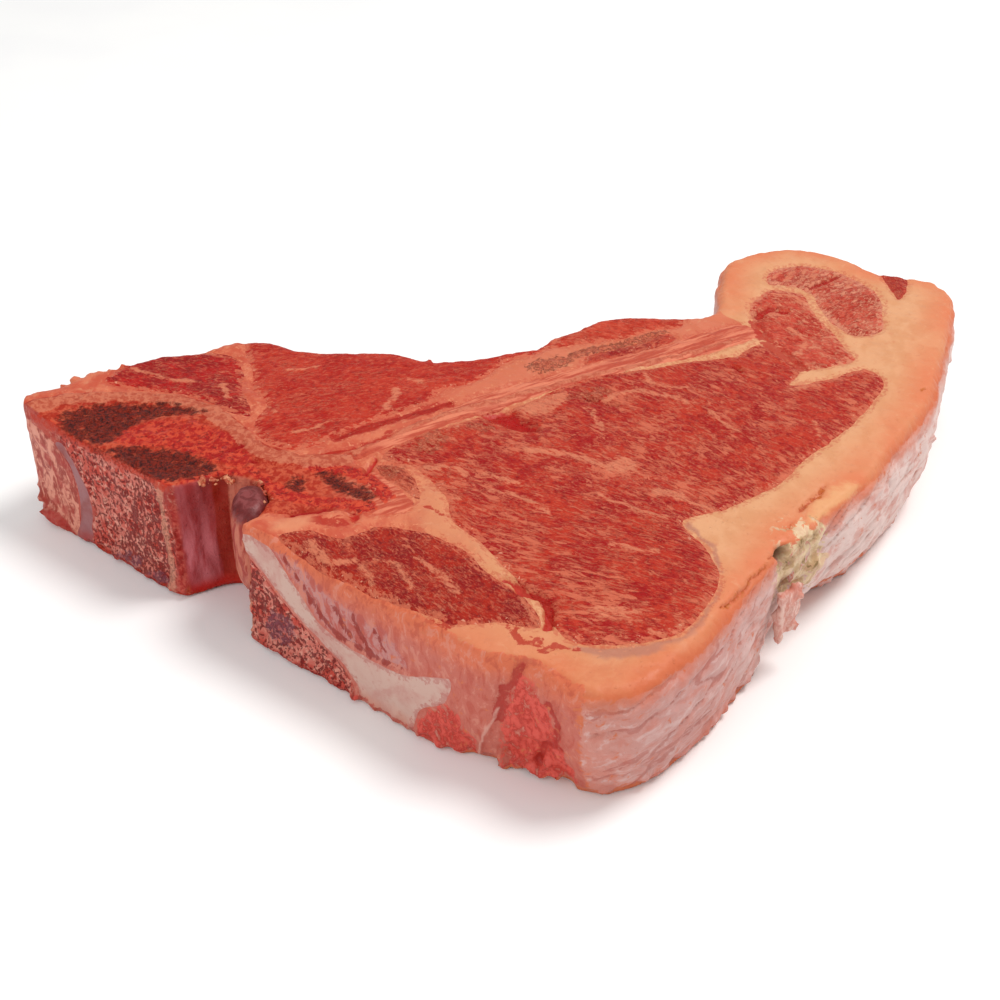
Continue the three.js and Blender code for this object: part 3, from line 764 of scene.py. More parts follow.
def sides_of(points, normals):
    """Soft masks for the top, the bottom, the sawn face and the wall of the canal."""
    face = on_sawn_face(points)
    along, depth = face[:, 0], face[:, 2]
    cut = smooth(0.25, 0.68, normals[:, 2]) * smooth(20.0, 24.0, points[:, 2])
    under = smooth(-0.25, -0.68, normals[:, 2]) * smooth(6.0, 3.0, points[:, 2])
    toward_saw = smooth(0.3, 0.7, normals @ OUTWARD)
    limit = np.where(along > RAGGED_END, 7.0, 1.8)
    sawn = toward_saw * smooth(limit + 1, limit, depth) * smooth(-4, -2, along) * smooth(156, 152, along)
    start, end = CANAL_SPAN
    in_span = smooth(start - 0.6, start + 0.6, along) * smooth(end, start, along)
    canal = in_span * smooth(1.0, 2.2, depth) * smooth(27, 25, depth) * (1 - cut) * (points[:, 2] > 0.6)
    return cut, under, sawn, canal


def surface_fields(points, normals):
    """Every mask at the given points, as a dictionary of arrays."""
    cut, under, sawn, canal = sides_of(points, normals)
    fields = {name: np.zeros(len(points)) for name in sorted({*TOP_MARKS, *SAWN_MARKS, "band", "seam"})}
    ragged = wandered(points, 2.4, 0.55)
    add_marks(fields, cut, ragged[:, :2], TOP_MARKS, TOP_MARKS)
    add_marks(fields, under, ragged[:, :2], TOP_MARKS, THROUGH_NAMES)
    add_marks(fields, sawn, on_sawn_face(ragged)[:, :2], SAWN_MARKS, SAWN_MARKS)
    seen = sawn > SEEN
    band = soft_line(SPINE_BAND_FACE, step=1.5)
    from_band = distance_to(on_sawn_face(points[seen])[:, :2], band)
    fields["band"][seen] = smooth(2.2, 0.0, from_band) * sawn[seen]
    flat_side = np.maximum(cut, under)
    seen = flat_side > SEEN
    fields["seam"][seen] = seam_closeness(points[seen]) * flat_side[seen]
    edge = soft_line(OUTER_EDGE, step=5, closed=False)
    fields["rind"] = smooth(13.0, 1.5, distance_to(points[:, :2], edge, closed=False))
    fields["cut"] = cut
    fields["sawn"] = sawn
    fields["canal"] = canal
    fields["side"] = (1 - cut) * (1 - sawn) * (1 - canal) * (1 - under)
    fields["mould"] = round_spot(points, HOLLOW_CENTRE, HOLLOW_REACH, 1.1, 0.45) * (1 - 0.4 * cut)
    fields["painted_dark_hole"] = round_spot(points, HOLE_CENTRE, HOLE_REACH, 1.2, 0.5)
    fields["fold"] = fields["side"] * smooth(-20, 20, points[:, 0]) * smooth(0.3, 0.02, bulges(points))
    return fields


print("canal from", CANAL_SPAN[0], "to", CANAL_SPAN[1], "mm along the sawn edge")

# %% [markdown]
# Fibres run in another direction in each muscle. A slope turns the plan, so that the first
# axis of the result lies along the fibres. A texture that is long on that axis then gives
# lines along the grain.

# %% Grain
GRAIN_SLOPES = {
    "tenderloin": -0.35, "side_muscle": 0.3, "backbone_muscle": 1.2, "small_muscle": 0.9,
    "flank_muscle": 0.2, "bar_strip": -0.6, "back_strip": -0.5, "tail_inner_muscle": 0.9,
    "tail_outer_muscle": -0.9, "tail_spot": 1.5,
}


def grain_place(points, slope=None):
    """Position along, across and under the fibres. In the big muscle they turn over the steak."""
    x, y, z = points.T
    if slope is None:
        slope = 0.18 + 0.42 * smooth(-72, -25, y) + 0.2 * smooth(10, 60, x)
    return np.column_stack([x - slope * y, y + slope * x, z])


print("grain of", len(GRAIN_SLOPES), "muscles")

# %% [markdown]
# The relief is small: fibres a few tenths of a millimetre high, seams that sink a little,
# pitted marrow, open pores on the sawn bone, folds in the skin of the fat edge.

# %% Relief of the skin
LOWEST_RELIEF = -2.2
HIGHEST_RELIEF = 0.75
RELIEF_SINK = 0.25
BOX_MARGIN = 0.02
# how far a mark stands up or sinks in, in mm
MARK_HEIGHTS = {
    "rim": 0.25, "gristle": 0.22, "pale": 0.1, "lean": -0.25, "deep": -1.3, "cleft": -0.5,
    "cortex": 0.3, "membrane": 0.5, "streak": -0.3, "painted_dark_hole": -1.7,
}


def relief(points, fields):
    """Height to add along the normal, in mm."""
    fibres = noise(grain_place(points) / (2.8, 1.0, 2.0), 1.0, 2)
    lumps = noise(points, 3.6, 2, 5.0)
    cut, sawn, side = fields["cut"], fields["sawn"], fields["side"]
    inner = 1 - np.maximum(fields["marrow"], fields["rim"])
    height = 0.16 * noise(points, 9.0, 2) + 0.05 * noise(points, 1.6, 2, 2.0)
    for name, rise in MARK_HEIGHTS.items():
        height += rise * fields[name]
    height += cut * inner * (0.13 * fibres - 0.3 * fields["seam"] ** 4 + 0.06 * lumps)
    height += fields["marrow"] * (0.36 * noise(points, 1.3, 2, 8.0) - 0.35)
    height += fields["ember"] * cut * 0.16 * noise(points, 1.4, 1, 9.0)
    height -= 0.8 * fields["crack"] ** 2
    height += fields["dull"] * 0.34 * noise(points, 1.5, 2, 6.0)
    height += fields["spongy"] * (0.24 * noise(points, 1.25, 1, 7.0) - 0.15)
    height += (fields["raw"] + 0.4 * fields["fascia"]) * 0.6 * noise(points, 2.6, 2, 1.5)
    height += fields["canal"] * 0.35 * noise(points / (1.0, 1.0, 3.0), 2.2, 1, 3.0)
    rough_side = side * smooth(-20, 20, points[:, 0])
    fold_height = 0.6 + 0.35 * smooth(36, 60, points[:, 0])
    height += rough_side * (fold_height * bulges(points) ** 0.7 - 0.5 + 0.2 * lumps)
    height += side * 0.2 * noise(points, 2.4, 2, 2.5)
    height += fields["mould"] * (1.3 * noise(points, 4.6, 2, 1.0) - 0.1)
    ragged_foot = smooth(6.0, 0.5, points[:, 2]) * (side + sawn)
    height += ragged_foot * 0.5 * noise(points, 2.2, 2, 4.5)
    return np.clip(height, LOWEST_RELIEF, HIGHEST_RELIEF) - RELIEF_SINK


def shape_skin(mesh):
    """Adds the relief and returns the new points and the fields. The underside stays flat."""
    points = mesh_points(mesh)
    normals = mesh_normals(mesh)
    fields = surface_fields(points, normals)
    low, high = (np.array(corner) / MM for corner in cad_box)
    flatness = smooth(-0.5, -0.9, normals[:, 2]) * smooth(1.5, 0.6, points[:, 2])
    points = points + normals * (relief(points, fields) * (1 - flatness))[:, None]
    under = smooth(-0.2, -0.8, normals[:, 2]) * smooth(3.0, 0.4, points[:, 2])
    points[:, 2] += (1 - flatness) * under * 0.6 * (1 + noise(points, 2.8, 2, 6.5))
    points = np.clip(points, low + BOX_MARGIN, high - BOX_MARGIN)
    points[:, 2] -= points[:, 2].min()
    set_mesh_points(mesh, points)
    index = mesh.attributes.new("skin_index", "INT", "POINT")
    index.data.foreach_set("value", np.arange(1, len(points) + 1, dtype=np.int32))
    return points, fields


skin_points, skin_fields = shape_skin(skin_mesh)
print("relief", np.round([skin_points.min(axis=0), skin_points.max(axis=0)], 1).tolist())

# %% [markdown]
# Each muscle and bone is now cut out of the skin with a form that stands on its soft line.
# A real seam is never a straight wall, so the form wanders by half a millimetre, and it
# wanders the same way for two neighbours, which keeps them against each other.

# %% Cutting forms
FORM_BOTTOM = -8.0
FORM_TOP = 40.0
FORM_LEVELS = np.linspace(FORM_BOTTOM, FORM_TOP, 13)
FORM_FRONT = -6.0
FORM_REACH = 160.0
FORM_LEFT = -220.0


def ring_form(rings, name):
    """A closed solid lofted through rings of points in mm."""
    count = len(rings[0])
    faces = []
    for level in range(len(rings) - 1):
        for i in range(count):
            a = level * count + i
            b = level * count + (i + 1) % count
            faces.append((a, b, b + count, a + count))
    faces.append(tuple(range(count))[::-1])
    faces.append(tuple(range((len(rings) - 1) * count, len(rings) * count)))
    mesh = bpy.data.meshes.new(name)
    mesh.from_pydata((np.concatenate(rings) * MM).tolist(), [], faces)
    solid = bmesh.new()
    solid.from_mesh(mesh)
    bmesh.ops.triangulate(solid, faces=solid.faces)
    if solid.calc_volume(signed=True) < 0:
        bmesh.ops.reverse_faces(solid, faces=solid.faces)
    solid.to_mesh(mesh)
    solid.free()
    return mesh


def upright_form(line, name):
    """The form of a piece that runs through the whole thickness."""
    rings = [seam_wander(flat(line, height)) for height in FORM_LEVELS]
    return ring_form(rings, name)


def sawn_form(outline, depth, name):
    """The form of a piece that shows on the sawn face."""
    line = soft_line(outline)
    rings = []
    for back in np.linspace(depth, FORM_FRONT, 5):
        start = SAWN_START - SAWN_OUTWARD * back
        plan = start + line[:, :1] * SAWN_DIRECTION
        ring = np.column_stack([plan, line[:, 1]])
        ring[:, 2] += 0.3 * noise(ring, 2.4, 2, 2.0)
        rings.append(wandered(ring, 3.0, 0.25, 5.0))
    return ring_form(rings, name)


def combined(base, forms, operation):
    """The base mesh joined with, cut by, or kept inside other closed meshes."""
    piece = new_object("base", base)
    tools = []
    for form in forms:
        tool = new_object("tool", form)
        tools.append(tool)
        cut = piece.modifiers.new("cut", "BOOLEAN")
        cut.operation = operation
        cut.solver = "MANIFOLD"
        cut.object = tool
    mesh = applied(piece, "piece")
    for tool in tools:
        bpy.data.objects.remove(tool)
    return mesh


def left_form(x):
    """Everything to the left of x, to split the fat."""
    corners = np.array([
        (x, -FORM_REACH), (x, FORM_REACH), (FORM_LEFT, FORM_REACH), (FORM_LEFT, -FORM_REACH)])
    return ring_form([flat(corners, height) for height in (FORM_BOTTOM, FORM_TOP)], "left")


bone_form = combined(
    upright_form(bone_lines["bar"], "bar"),
    [
        upright_form(bone_lines["vertebra"], "vertebra"),
        upright_form(bone_lines["arch"], "arch"),
        sawn_form(SPINE_FACE, 9.0, "spine"),
    ],
    "UNION",
)
forms = {
    "disc_cartilage": sawn_form(DISC_FACE, 8.0, "disc"),
    "disc_ligament": sawn_form(LIGAMENT_FACE, 8.0, "ligament"),
    "spine_cartilage": sawn_form(SPINE_BAND_FACE, 7.0, "band"),
    "t_bone": bone_form,
    **{name: upright_form(line, name) for name, line in muscle_lines.items()},
}
print("forms", len(forms))

# %% [markdown]
# The order matters where forms overlap: the pieces of the sawn face come first, then the
# bone, then the muscles, and the fat is whatever is left. It falls apart into four pieces.

# %% Pieces
meshes = {}
rest = skin_mesh
for name, form in forms.items():
    meshes[name] = combined(rest, [form], "INTERSECT")
    rest = combined(rest, [form], "DIFFERENCE")
upper_form = upright_form(soft_line(UPPER_FAT), "upper")
upper = combined(rest, [upper_form], "INTERSECT")
left = combined(upper, [left_form(SIDE_FAT_END)], "INTERSECT")
meshes["corner_fat"] = combined(left, [left_form(CORNER_FAT_END)], "INTERSECT")
meshes["side_fat"] = combined(left, [left_form(CORNER_FAT_END)], "DIFFERENCE")
meshes["tenderloin_fat"] = combined(upper, [left_form(SIDE_FAT_END)], "DIFFERENCE")
meshes["fat_cap"] = combined(rest, [upper_form], "DIFFERENCE")
print("pieces", {name: len(mesh.polygons) for name, mesh in meshes.items()})

# %% [markdown]
# A few things aren't part of the skin: the nerve that lies in the spinal canal, the pale
# crumbs of fat round its top, and a torn shred of fat that hangs from the side.

# %% Nerve, crumbs and shred
NERVE_CENTRE = (-55.9, -29.4, 20.0)
NERVE_RADII = (4.5, 7.7, 11.5)
NERVE_TURN = 0.12
BLUNTNESS = 3.2


def nerve_mesh():
    """A cord cut through: upright, oval in plan, with a blunt top and bottom."""
    ball = bmesh.new()
    bmesh.ops.create_icosphere(ball, subdivisions=5, radius=1.0)
    mesh = bpy.data.meshes.new("nerve")
    ball.to_mesh(mesh)
    ball.free()
    unit = mesh_points(mesh) * MM
    spread = np.linalg.norm(unit[:, :2], axis=1)
    reach = (spread ** BLUNTNESS + np.abs(unit[:, 2]) ** BLUNTNESS) ** (-1 / BLUNTNESS)
    points = unit * reach[:, None] * NERVE_RADII
    points *= 1 - 0.04 * np.abs(noise(points, 4.0, 2, 3.0))[:, None]
    cos, sin = math.cos(NERVE_TURN), math.sin(NERVE_TURN)
    points = points @ np.array([[cos, sin, 0], [-sin, cos, 0], [0, 0, 1]])
    set_mesh_points(mesh, points + NERVE_CENTRE)
    return mesh


def crumbs_mesh(places, count, sizes, seed):
    """Uneven crumbs melted into small clusters round the given places."""
    random = np.random.default_rng(seed)
    places = np.array(places, dtype=float)
    lumps = []
    for _ in range(count):
        centre = places[random.integers(len(places))] + random.normal(0, 0.75, 3) * (1, 1, 0.6)
        size = random.uniform(*sizes)
        lumps.append((centre, (size * random.uniform(0.7, 1.3), size, size * 0.8)))
    form = bmesh.new()
    form.from_mesh(lumps_mesh(lumps, random, 0.7))
    return remeshed(form, 0.28, 2)


CANAL_CRUMBS = [
    (-66.8, -22.0, 29.4), (-64.2, -21.2, 29.6), (-61.4, -20.8, 29.4), (-54.8, -23.8, 30.0),
    (-53.8, -26.4, 30.0), (-52.9, -28.8, 29.8),
]
SHRED_STEPS = 46
SHRED_START = (51.6, -49.4)
SHRED_RUN = (4.4, 4.2)
SHRED_TOP = 20.0
SHRED_DROP = 12.5


def shred_mesh():
    """A torn flap of fat: a thin uneven sheet with a ragged lower edge."""
    random = np.random.default_rng(31)
    lumps = []
    for t in np.linspace(0, 1, SHRED_STEPS):
        tatter = (0.5 + 0.5 * math.sin(0.4 + t * 2.4)) * (0.7 + 0.3 * math.sin(t * 23))
        for _ in range(3):
            x = SHRED_START[0] + SHRED_RUN[0] * t + random.normal(0, 0.35)
            y = SHRED_START[1] + SHRED_RUN[1] * t + random.normal(0, 0.3)
            z = SHRED_TOP - SHRED_DROP * random.random() ** 0.8 * tatter
            lumps.append(((x, y, z), (0.9, 0.6, random.uniform(0.8, 1.5))))
    form = bmesh.new()
    form.from_mesh(lumps_mesh(lumps, random, 0.8))
    return remeshed(form, 0.35, 3)


meshes["spinal_nerve"] = nerve_mesh()
meshes["canal_crumbs"] = crumbs_mesh(CANAL_CRUMBS, 54, (0.3, 0.62), 17)
meshes["side_shred"] = shred_mesh()
print("extras", {name: len(meshes[name].polygons) for name in ("spinal_nerve", "canal_crumbs", "side_shred")})

# %% [markdown]
# The colours follow the same fields. They are stored on the points as named numbers that
# the materials read. A field that is nowhere above zero on a piece isn't stored at all.

# %% Stored fields
LEAST_FIELD = 0.02
SHARP_ANGLE = math.radians(62)


def store(mesh, name, values, kind="FLOAT", key="value"):
    mesh.attributes.new(name, kind, "POINT").data.foreach_set(key, np.ravel(values).astype(np.float32))


def skin_owners(mesh, points):
    """The skin point that each point of a piece is, or that lies nearest to it."""
    owners = np.zeros(len(points), dtype=np.int32)
    if "skin_index" in mesh.attributes:
        mesh.attributes["skin_index"].data.foreach_get("value", owners)
    for index in np.flatnonzero(owners < 1):
        owners[index] = skin_tree.find(points[index] * MM)[1] + 1
    return owners - 1


def finish_mesh(name, mesh):
    """Stores the fields and the grain on a piece and smooths its faces."""
    points = mesh_points(mesh)
    owners = skin_owners(mesh, points)
    for field, value in skin_fields.items():
        if value[owners].max() > LEAST_FIELD:
            store(mesh, "f_" + field, value[owners])
    store(mesh, "grain", grain_place(points, GRAIN_SLOPES.get(name)), "FLOAT_VECTOR", "vector")
    mesh.shade_smooth()
    mesh.set_sharp_from_angle(angle=SHARP_ANGLE)


skin_tree = KDTree(len(skin_points))
for number, point in enumerate(skin_points * MM):
    skin_tree.insert(point, number)
skin_tree.balance()
for name, mesh in meshes.items():
    finish_mesh(name, mesh)
print("stored", len(meshes["fat_cap"].attributes), "fields on the fat")

# %% [markdown]
# Materials are node trees, filled in by short calls. A value that is the same everywhere is
# set on its socket, and anything else comes from a noise, a stored field or a node group.

# %% Node helpers
STUDIO_LEVEL = 0.87
SHEEN_LEVEL = 0.015
TEAR = 5.0


def tint(red, green, blue, level=STUDIO_LEVEL, sheen=SHEEN_LEVEL):
    """A linear colour that looks like these screen values, 0 to 255, under the studio light."""
    shares = (((c / 255 + 0.055) / 1.055) ** 2.4 for c in (red, green, blue))
    return (*[max(level * share - sheen, 0.003) for share in shares], 1)


def scaled(colour, red, green, blue):
    """A uniform colour with its channels scaled."""
    return (colour[0] * red, colour[1] * green, colour[2] * blue, 1)


class Sheet:
    """A node tree and the calls that add to it."""

    def __init__(self, tree):
        self.tree = tree

    def feed(self, socket, value):
        if isinstance(value, bpy.types.NodeSocket):
            self.tree.links.new(value, socket)
        else:
            socket.default_value = value

    def put(self, kind, inputs=None, **settings):
        node = self.tree.nodes.new("ShaderNode" + kind)
        for name, value in settings.items():
            setattr(node, name, value)
        for name, value in (inputs or {}).items():
            self.feed(node.inputs[name], value)
        return node

    def math(self, operation, first, second=0.0):
        return self.put("Math", {0: first, 1: second}, operation=operation).outputs[0]

    def add(self, *values):
        total = values[0]
        for value in values[1:]:
            total = self.math("ADD", total, value)
        return total

    def times(self, *values):
        total = values[0]
        for value in values[1:]:
            total = self.math("MULTIPLY", total, value)
        return total

    def step(self, value, low, high, start=0.0, end=1.0):
        """start below low, end above high, soft between."""
        inputs = {0: value, 1: low, 2: high, 3: start, 4: end}
        return self.put("MapRange", inputs, interpolation_type="SMOOTHSTEP").outputs[0]

    def blend(self, factor, first, second):
        return self.put("Mix", {0: factor, 6: first, 7: second}, data_type="RGBA").outputs[2]

    def shade(self, value, low, high, first, second, share=1.0):
        """The first colour below low, and above high that share of the second one."""
        return self.blend(self.step(value, low, high, 0.0, share), first, second)

    def field(self, name, vector=False):
        node = self.put("Attribute", attribute_name=name)
        return node.outputs["Vector" if vector else "Fac"]

    def mask(self, name):
        """A field that is stored on the points of the mesh."""
        return self.field("f_" + name)

    def place(self):
        """Where a point lies on the object, in mm."""
        source = self.put("TexCoord").outputs["Object"]
        return self.stretched(source, 1 / MM)

    def axes(self, vector):
        return self.put("SeparateXYZ", {0: vector}).outputs

    def stretched(self, vector, factor):
        factor = (factor,) * 3 if isinstance(factor, (int, float)) else factor
        return self.put("VectorMath", {0: vector, 1: factor}, operation="MULTIPLY").outputs[0]

    def noise(self, vector, size, detail=2.0, roughness=0.5, twist=0.0):
        """Soft noise, about 0.5 on average, with lumps about as large as size."""
        inputs = {"Vector": vector, "Scale": 1 / size, "Detail": detail, "Roughness": roughness,
                  "Distortion": twist}
        return self.put("TexNoise", inputs).outputs["Fac"]

    def turned(self, vector, degrees):
        """The vector turned round the upright axis."""
        inputs = {"Vector": vector, "Angle": math.radians(degrees)}
        return self.put("VectorRotate", inputs, rotation_type="Z_AXIS").outputs[0]

    def swing(self, rough, amount):
        """How far a noise strays from its middle, times amount. It rarely strays 0.15."""
        return self.times(self.math("SUBTRACT", rough, 0.5), amount)

    def torn(self, mask, rough, tear=TEAR):
        """A soft mask with its edge torn by a noise."""
        moved = self.add(mask, self.swing(rough, tear))
        return self.times(self.step(moved, 0.35, 0.75), self.step(mask, 0.02, 0.25))

    def paint(self, colour, name, paint, rough, share=1.0, tear=TEAR):
        """The colour with a share of another one over a stored field, torn at its edge."""
        torn = self.torn(self.mask(name), rough, tear)
        return self.blend(self.times(torn, share), colour, paint)

    def use(self, group, **inputs):
        node = self.put("Group", node_tree=group)
        for name, value in inputs.items():
            self.feed(node.inputs[name.replace("_", " ").capitalize()], value)
        return node.outputs


def new_group(name, inputs, outputs):
    """An empty node group with float or vector inputs and named outputs."""
    group = bpy.data.node_groups.new(name, "ShaderNodeTree")
    for label, default in inputs.items():
        kind = "NodeSocketVector" if default is None else "NodeSocketFloat"
        socket = group.interface.new_socket(label, in_out="INPUT", socket_type=kind)
        if default is not None:
            socket.default_value = default
    for label in outputs:
        group.interface.new_socket(label, in_out="OUTPUT", socket_type="NodeSocketFloat")
    start = group.nodes.new("NodeGroupInput")
    end = group.nodes.new("NodeGroupOutput")
    return group, Sheet(group), start.outputs, end.inputs


def new_material(name, gloss=0.3):
    """An empty material: its sheet and its main shader."""
    material = bpy.data.materials.new(name)
    material.use_nodes = True
    tree = material.node_tree
    tree.nodes.clear()
    sheet = Sheet(tree)
    shader = sheet.put("BsdfPrincipled")
    shader.inputs["Specular IOR Level"].default_value = gloss
    output = sheet.put("OutputMaterial")
    tree.links.new(shader.outputs[0], output.inputs["Surface"])
    return material, sheet, shader


def dress(sheet, shader, colour, roughness, height, reach=0.3):
    """Feeds a main shader, with a bump that is reach mm high."""
    sheet.feed(shader.inputs["Base Color"], colour)
    sheet.feed(shader.inputs["Roughness"], roughness)
    bump = sheet.put("Bump", {"Height": height, "Distance": reach * MM, "Strength": 1.0})
    sheet.feed(shader.inputs["Normal"], bump.outputs[0])


print("level of the studio light", STUDIO_LEVEL)

# %% [markdown]
# Four effects come back in many materials. Streaks are the pale fat between the fibres, with
# ragged edges. Fibres are the fine lines along the grain. Pores are the holes of sawn bone.
# Moist breaks a surface into wet and dry, so that small glints show here and there.

# %% Node groups
def divided(sheet, place, *lengths):
    """The place over a length for each axis, or over one for all of them."""
    shares = [sheet.math("DIVIDE", 1.0, length) for length in lengths]
    if len(shares) == 1:
        return sheet.put("VectorMath", {0: place, "Scale": shares[0]}, operation="SCALE").outputs[0]
    scale = sheet.put("CombineXYZ", dict(enumerate(shares))).outputs[0]
    return sheet.put("VectorMath", {0: place, 1: scale}, operation="MULTIPLY").outputs[0]


def streaks_group():
    group, sheet, given, result = new_group(
        "Streaks", {"Place": None, "Length": 3.0, "Width": 0.9, "Amount": 0.5}, ["Streaks", "Veins"])
    drawn = divided(sheet, given["Place"], given["Length"], given["Width"], given["Length"])
    value = sheet.noise(drawn, 1.6, 5.0, 0.7, 0.9)
    patch = sheet.noise(given["Place"], 9.0, 2.0, 0.5)
    low = sheet.math("SUBTRACT", 0.66, sheet.times(given["Amount"], 0.17))
    low = sheet.math("SUBTRACT", low, sheet.swing(patch, 0.35))
    sheet.feed(result["Streaks"], sheet.step(value, low, sheet.add(low, 0.09)))
    folds = sheet.noise(drawn, 3.0, 4.0, 0.62, 0.6)
    ridge = sheet.math("ABSOLUTE", sheet.math("SUBTRACT", folds, 0.5))
    veins = sheet.times(sheet.step(ridge, 0.02, 0.004), sheet.step(patch, 0.44, 0.58))
    sheet.feed(result["Veins"], veins)
    return group


def fibres_group():
    group, sheet, given, result = new_group("Fibres", {"Place": None, "Width": 0.5}, ["Fibres", "Bundles"])
    narrow = sheet.math("DIVIDE", 1.0, given["Width"])
    shares = {0: sheet.times(narrow, 0.42), 1: narrow, 2: sheet.times(narrow, 0.6)}
    scale = sheet.put("CombineXYZ", shares).outputs[0]
    sheet.feed(result["Fibres"], sheet.noise(sheet.stretched(given["Place"], scale), 1.0, 3.0, 0.65, 0.8))
    soft = sheet.stretched(given["Place"], (0.6, 1.0, 0.7))
    sheet.feed(result["Bundles"], sheet.noise(soft, 2.8, 5.0, 0.68, 0.8))
    return group


def pores_group():
    group, sheet, given, result = new_group(
        "Pores", {"Place": None, "Size": 0.9, "Depth": 0.5}, ["Pores", "Height"])
    sponge = sheet.noise(divided(sheet, given["Place"], given["Size"]), 1.5, 3.0, 0.6, 0.3)
    limit = sheet.add(0.4, sheet.times(given["Depth"], 0.18))
    holes = sheet.step(sponge, limit, sheet.math("SUBTRACT", limit, 0.05))
    sheet.feed(result["Pores"], holes)
    sheet.feed(result["Height"], sheet.math("SUBTRACT", 1.0, holes))
    return group


def moist_group():
    group, sheet, given, result = new_group(
        "Moist", {"Place": None, "Dry": 0.5, "Wet": 0.22}, ["Roughness", "Beads"])
    patches = sheet.step(sheet.noise(given["Place"], 5.0, 3.0, 0.6), 0.5, 0.68, 0.0, 0.6)
    spots = sheet.step(sheet.noise(given["Place"], 0.8, 2.0, 0.6), 0.62, 0.76)
    share = sheet.math("MAXIMUM", patches, spots)
    span = sheet.math("SUBTRACT", given["Wet"], given["Dry"])
    sheet.feed(result["Roughness"], sheet.add(given["Dry"], sheet.times(span, share)))
    sheet.feed(result["Beads"], spots)
    return group


STREAKS = streaks_group()
FIBRES = fibres_group()
PORES = pores_group()
MOIST = moist_group()
print("groups", [group.name for group in bpy.data.node_groups])

# %% [markdown]
# Raw lean is red muscle with pale streaks. They follow the grain and have ragged ends, and
# thin veins of gristle cross them. Painted marks add seams, wet pockets and the dull crumbs
# of dried meat. One function makes each muscle's own red and marbling.

# %% Lean materials
FAT_IN_LEAN = tint(222, 120, 92)
SEAM_IN_LEAN = tint(230, 138, 106)
GRAIN_OF_FAT = tint(240, 172, 142)
WET_RED = tint(184, 20, 14)
DULL = tint(226, 142, 110)
DULL_DARK = tint(170, 66, 50)
LEAN_GLOSS = 0.16
CROSS_TURN = 24.0


def lean_reds(sheet, place, grain, fibres, small, dark, light, pale):
    """The muscle's own colour: bundles in two reds, dark gaps and fine pale lines."""
    broad = sheet.noise(place, 10.0, 3.0)
    bundles = sheet.add(sheet.times(fibres["Bundles"], 0.6), sheet.times(broad, 0.4))
    colour = sheet.shade(bundles, 0.43, 0.57, dark, light)
    colour = sheet.shade(small, 0.47, 0.34, colour, scaled(dark, 0.66, 0.5, 0.5), 0.65)
    fine = sheet.noise(sheet.stretched(grain, (0.4, 1.0, 0.7)), 0.62, 3.0, 0.6)
    colour = sheet.shade(fine, 0.5, 0.66, colour, pale, 0.42)
    return sheet.shade(fibres["Fibres"], 0.48, 0.36, colour, dark, 0.3)


def fat_flecks(sheet, place, grain, marbling, length, width, strength):
    """Where fat shows between the fibres, along the grain and a little across it."""
    along = sheet.use(STREAKS, place=grain, length=length, width=width, amount=marbling)
    turned = sheet.turned(place, CROSS_TURN)
    cross = sheet.use(STREAKS, place=turned, length=1.6, width=0.8, amount=marbling * 0.7)
    flecks = sheet.math("MAXIMUM", sheet.times(along["Streaks"], strength), sheet.times(along["Veins"], 0.55))
    return sheet.math("MAXIMUM", flecks, sheet.times(cross["Streaks"], strength, 0.75))


def seamed(sheet, colour, place, fibres, rough, pale, border):
    """Adds the drawn seams, the pale border of the muscle and the grains of fat along it."""
    drawn = sheet.mask("pale")
    strayed = sheet.add(drawn, sheet.swing(rough, 4.6), sheet.swing(fibres["Fibres"], 1.6))
    seams = sheet.times(sheet.step(strayed, 0.15, 1.05), sheet.step(drawn, 0.02, 0.3))
    colour = sheet.blend(sheet.times(seams, 0.8), colour, SEAM_IN_LEAN)
    edge = sheet.torn(sheet.step(sheet.mask("seam"), 0.3, 1.0, 0.0, 0.62), rough, 6.0)
    colour = sheet.blend(sheet.times(edge, border), colour, pale)
    grains = sheet.step(sheet.noise(place, 0.75, 2.0, 0.5), 0.66, 0.72)
    near_seam = sheet.step(sheet.mask("seam"), 0.05, 0.6, 0.15, 1.0)
    return sheet.blend(sheet.times(grains, near_seam, 0.75), colour, GRAIN_OF_FAT)


def lean_material(name, dark, light, marbling, length=2.6, width=0.9, pale=FAT_IN_LEAN,
                  strength=0.75, border=0.75):
    """A muscle in two reds. Length and width, in mm, are those of its streaks of fat."""
    material, sheet, shader = new_material(name, LEAN_GLOSS)
    place = sheet.place()
    grain = sheet.field("grain", vector=True)
    fibres = sheet.use(FIBRES, place=grain, width=0.5)
    small = sheet.noise(place, 1.7, 4.0, 0.65)
    rough = sheet.noise(sheet.stretched(grain, (0.45, 1.0, 0.7)), 1.2, 5.0, 0.72)
    colour = lean_reds(sheet, place, grain, fibres, small, dark, light, pale)
    flecks = fat_flecks(sheet, place, grain, marbling, length, width, strength)
    colour = sheet.blend(flecks, colour, pale)
    colour = seamed(sheet, colour, place, fibres, rough, pale, border)
    dry = sheet.noise(grain, 0.9, 4.0, 0.75, 0.8)
    dull = sheet.torn(sheet.times(sheet.mask("dull"), 0.85), rough, 6.0)
    crumbs = sheet.shade(dry, 0.44, 0.58, DULL_DARK, DULL)
    colour = sheet.blend(sheet.times(dull, 0.55), colour, crumbs)
    deep = sheet.torn(sheet.mask("deep"), small, 2.0)
    colour = sheet.blend(sheet.times(deep, 0.8), colour, WET_RED)
    colour = sheet.paint(colour, "lean", dark, small, 0.7)
    moist = sheet.use(MOIST, place=place, dry=0.52, wet=0.26)
    roughness = sheet.math("SUBTRACT", moist["Roughness"], sheet.times(deep, 0.2))
    height = sheet.add(
        sheet.times(fibres["Fibres"], 0.8), sheet.times(flecks, 0.3), sheet.times(moist["Beads"], 0.5),
        sheet.times(small, 0.7), sheet.times(dull, dry, 0.7))
    dress(sheet, shader, colour, roughness, height)
    return material


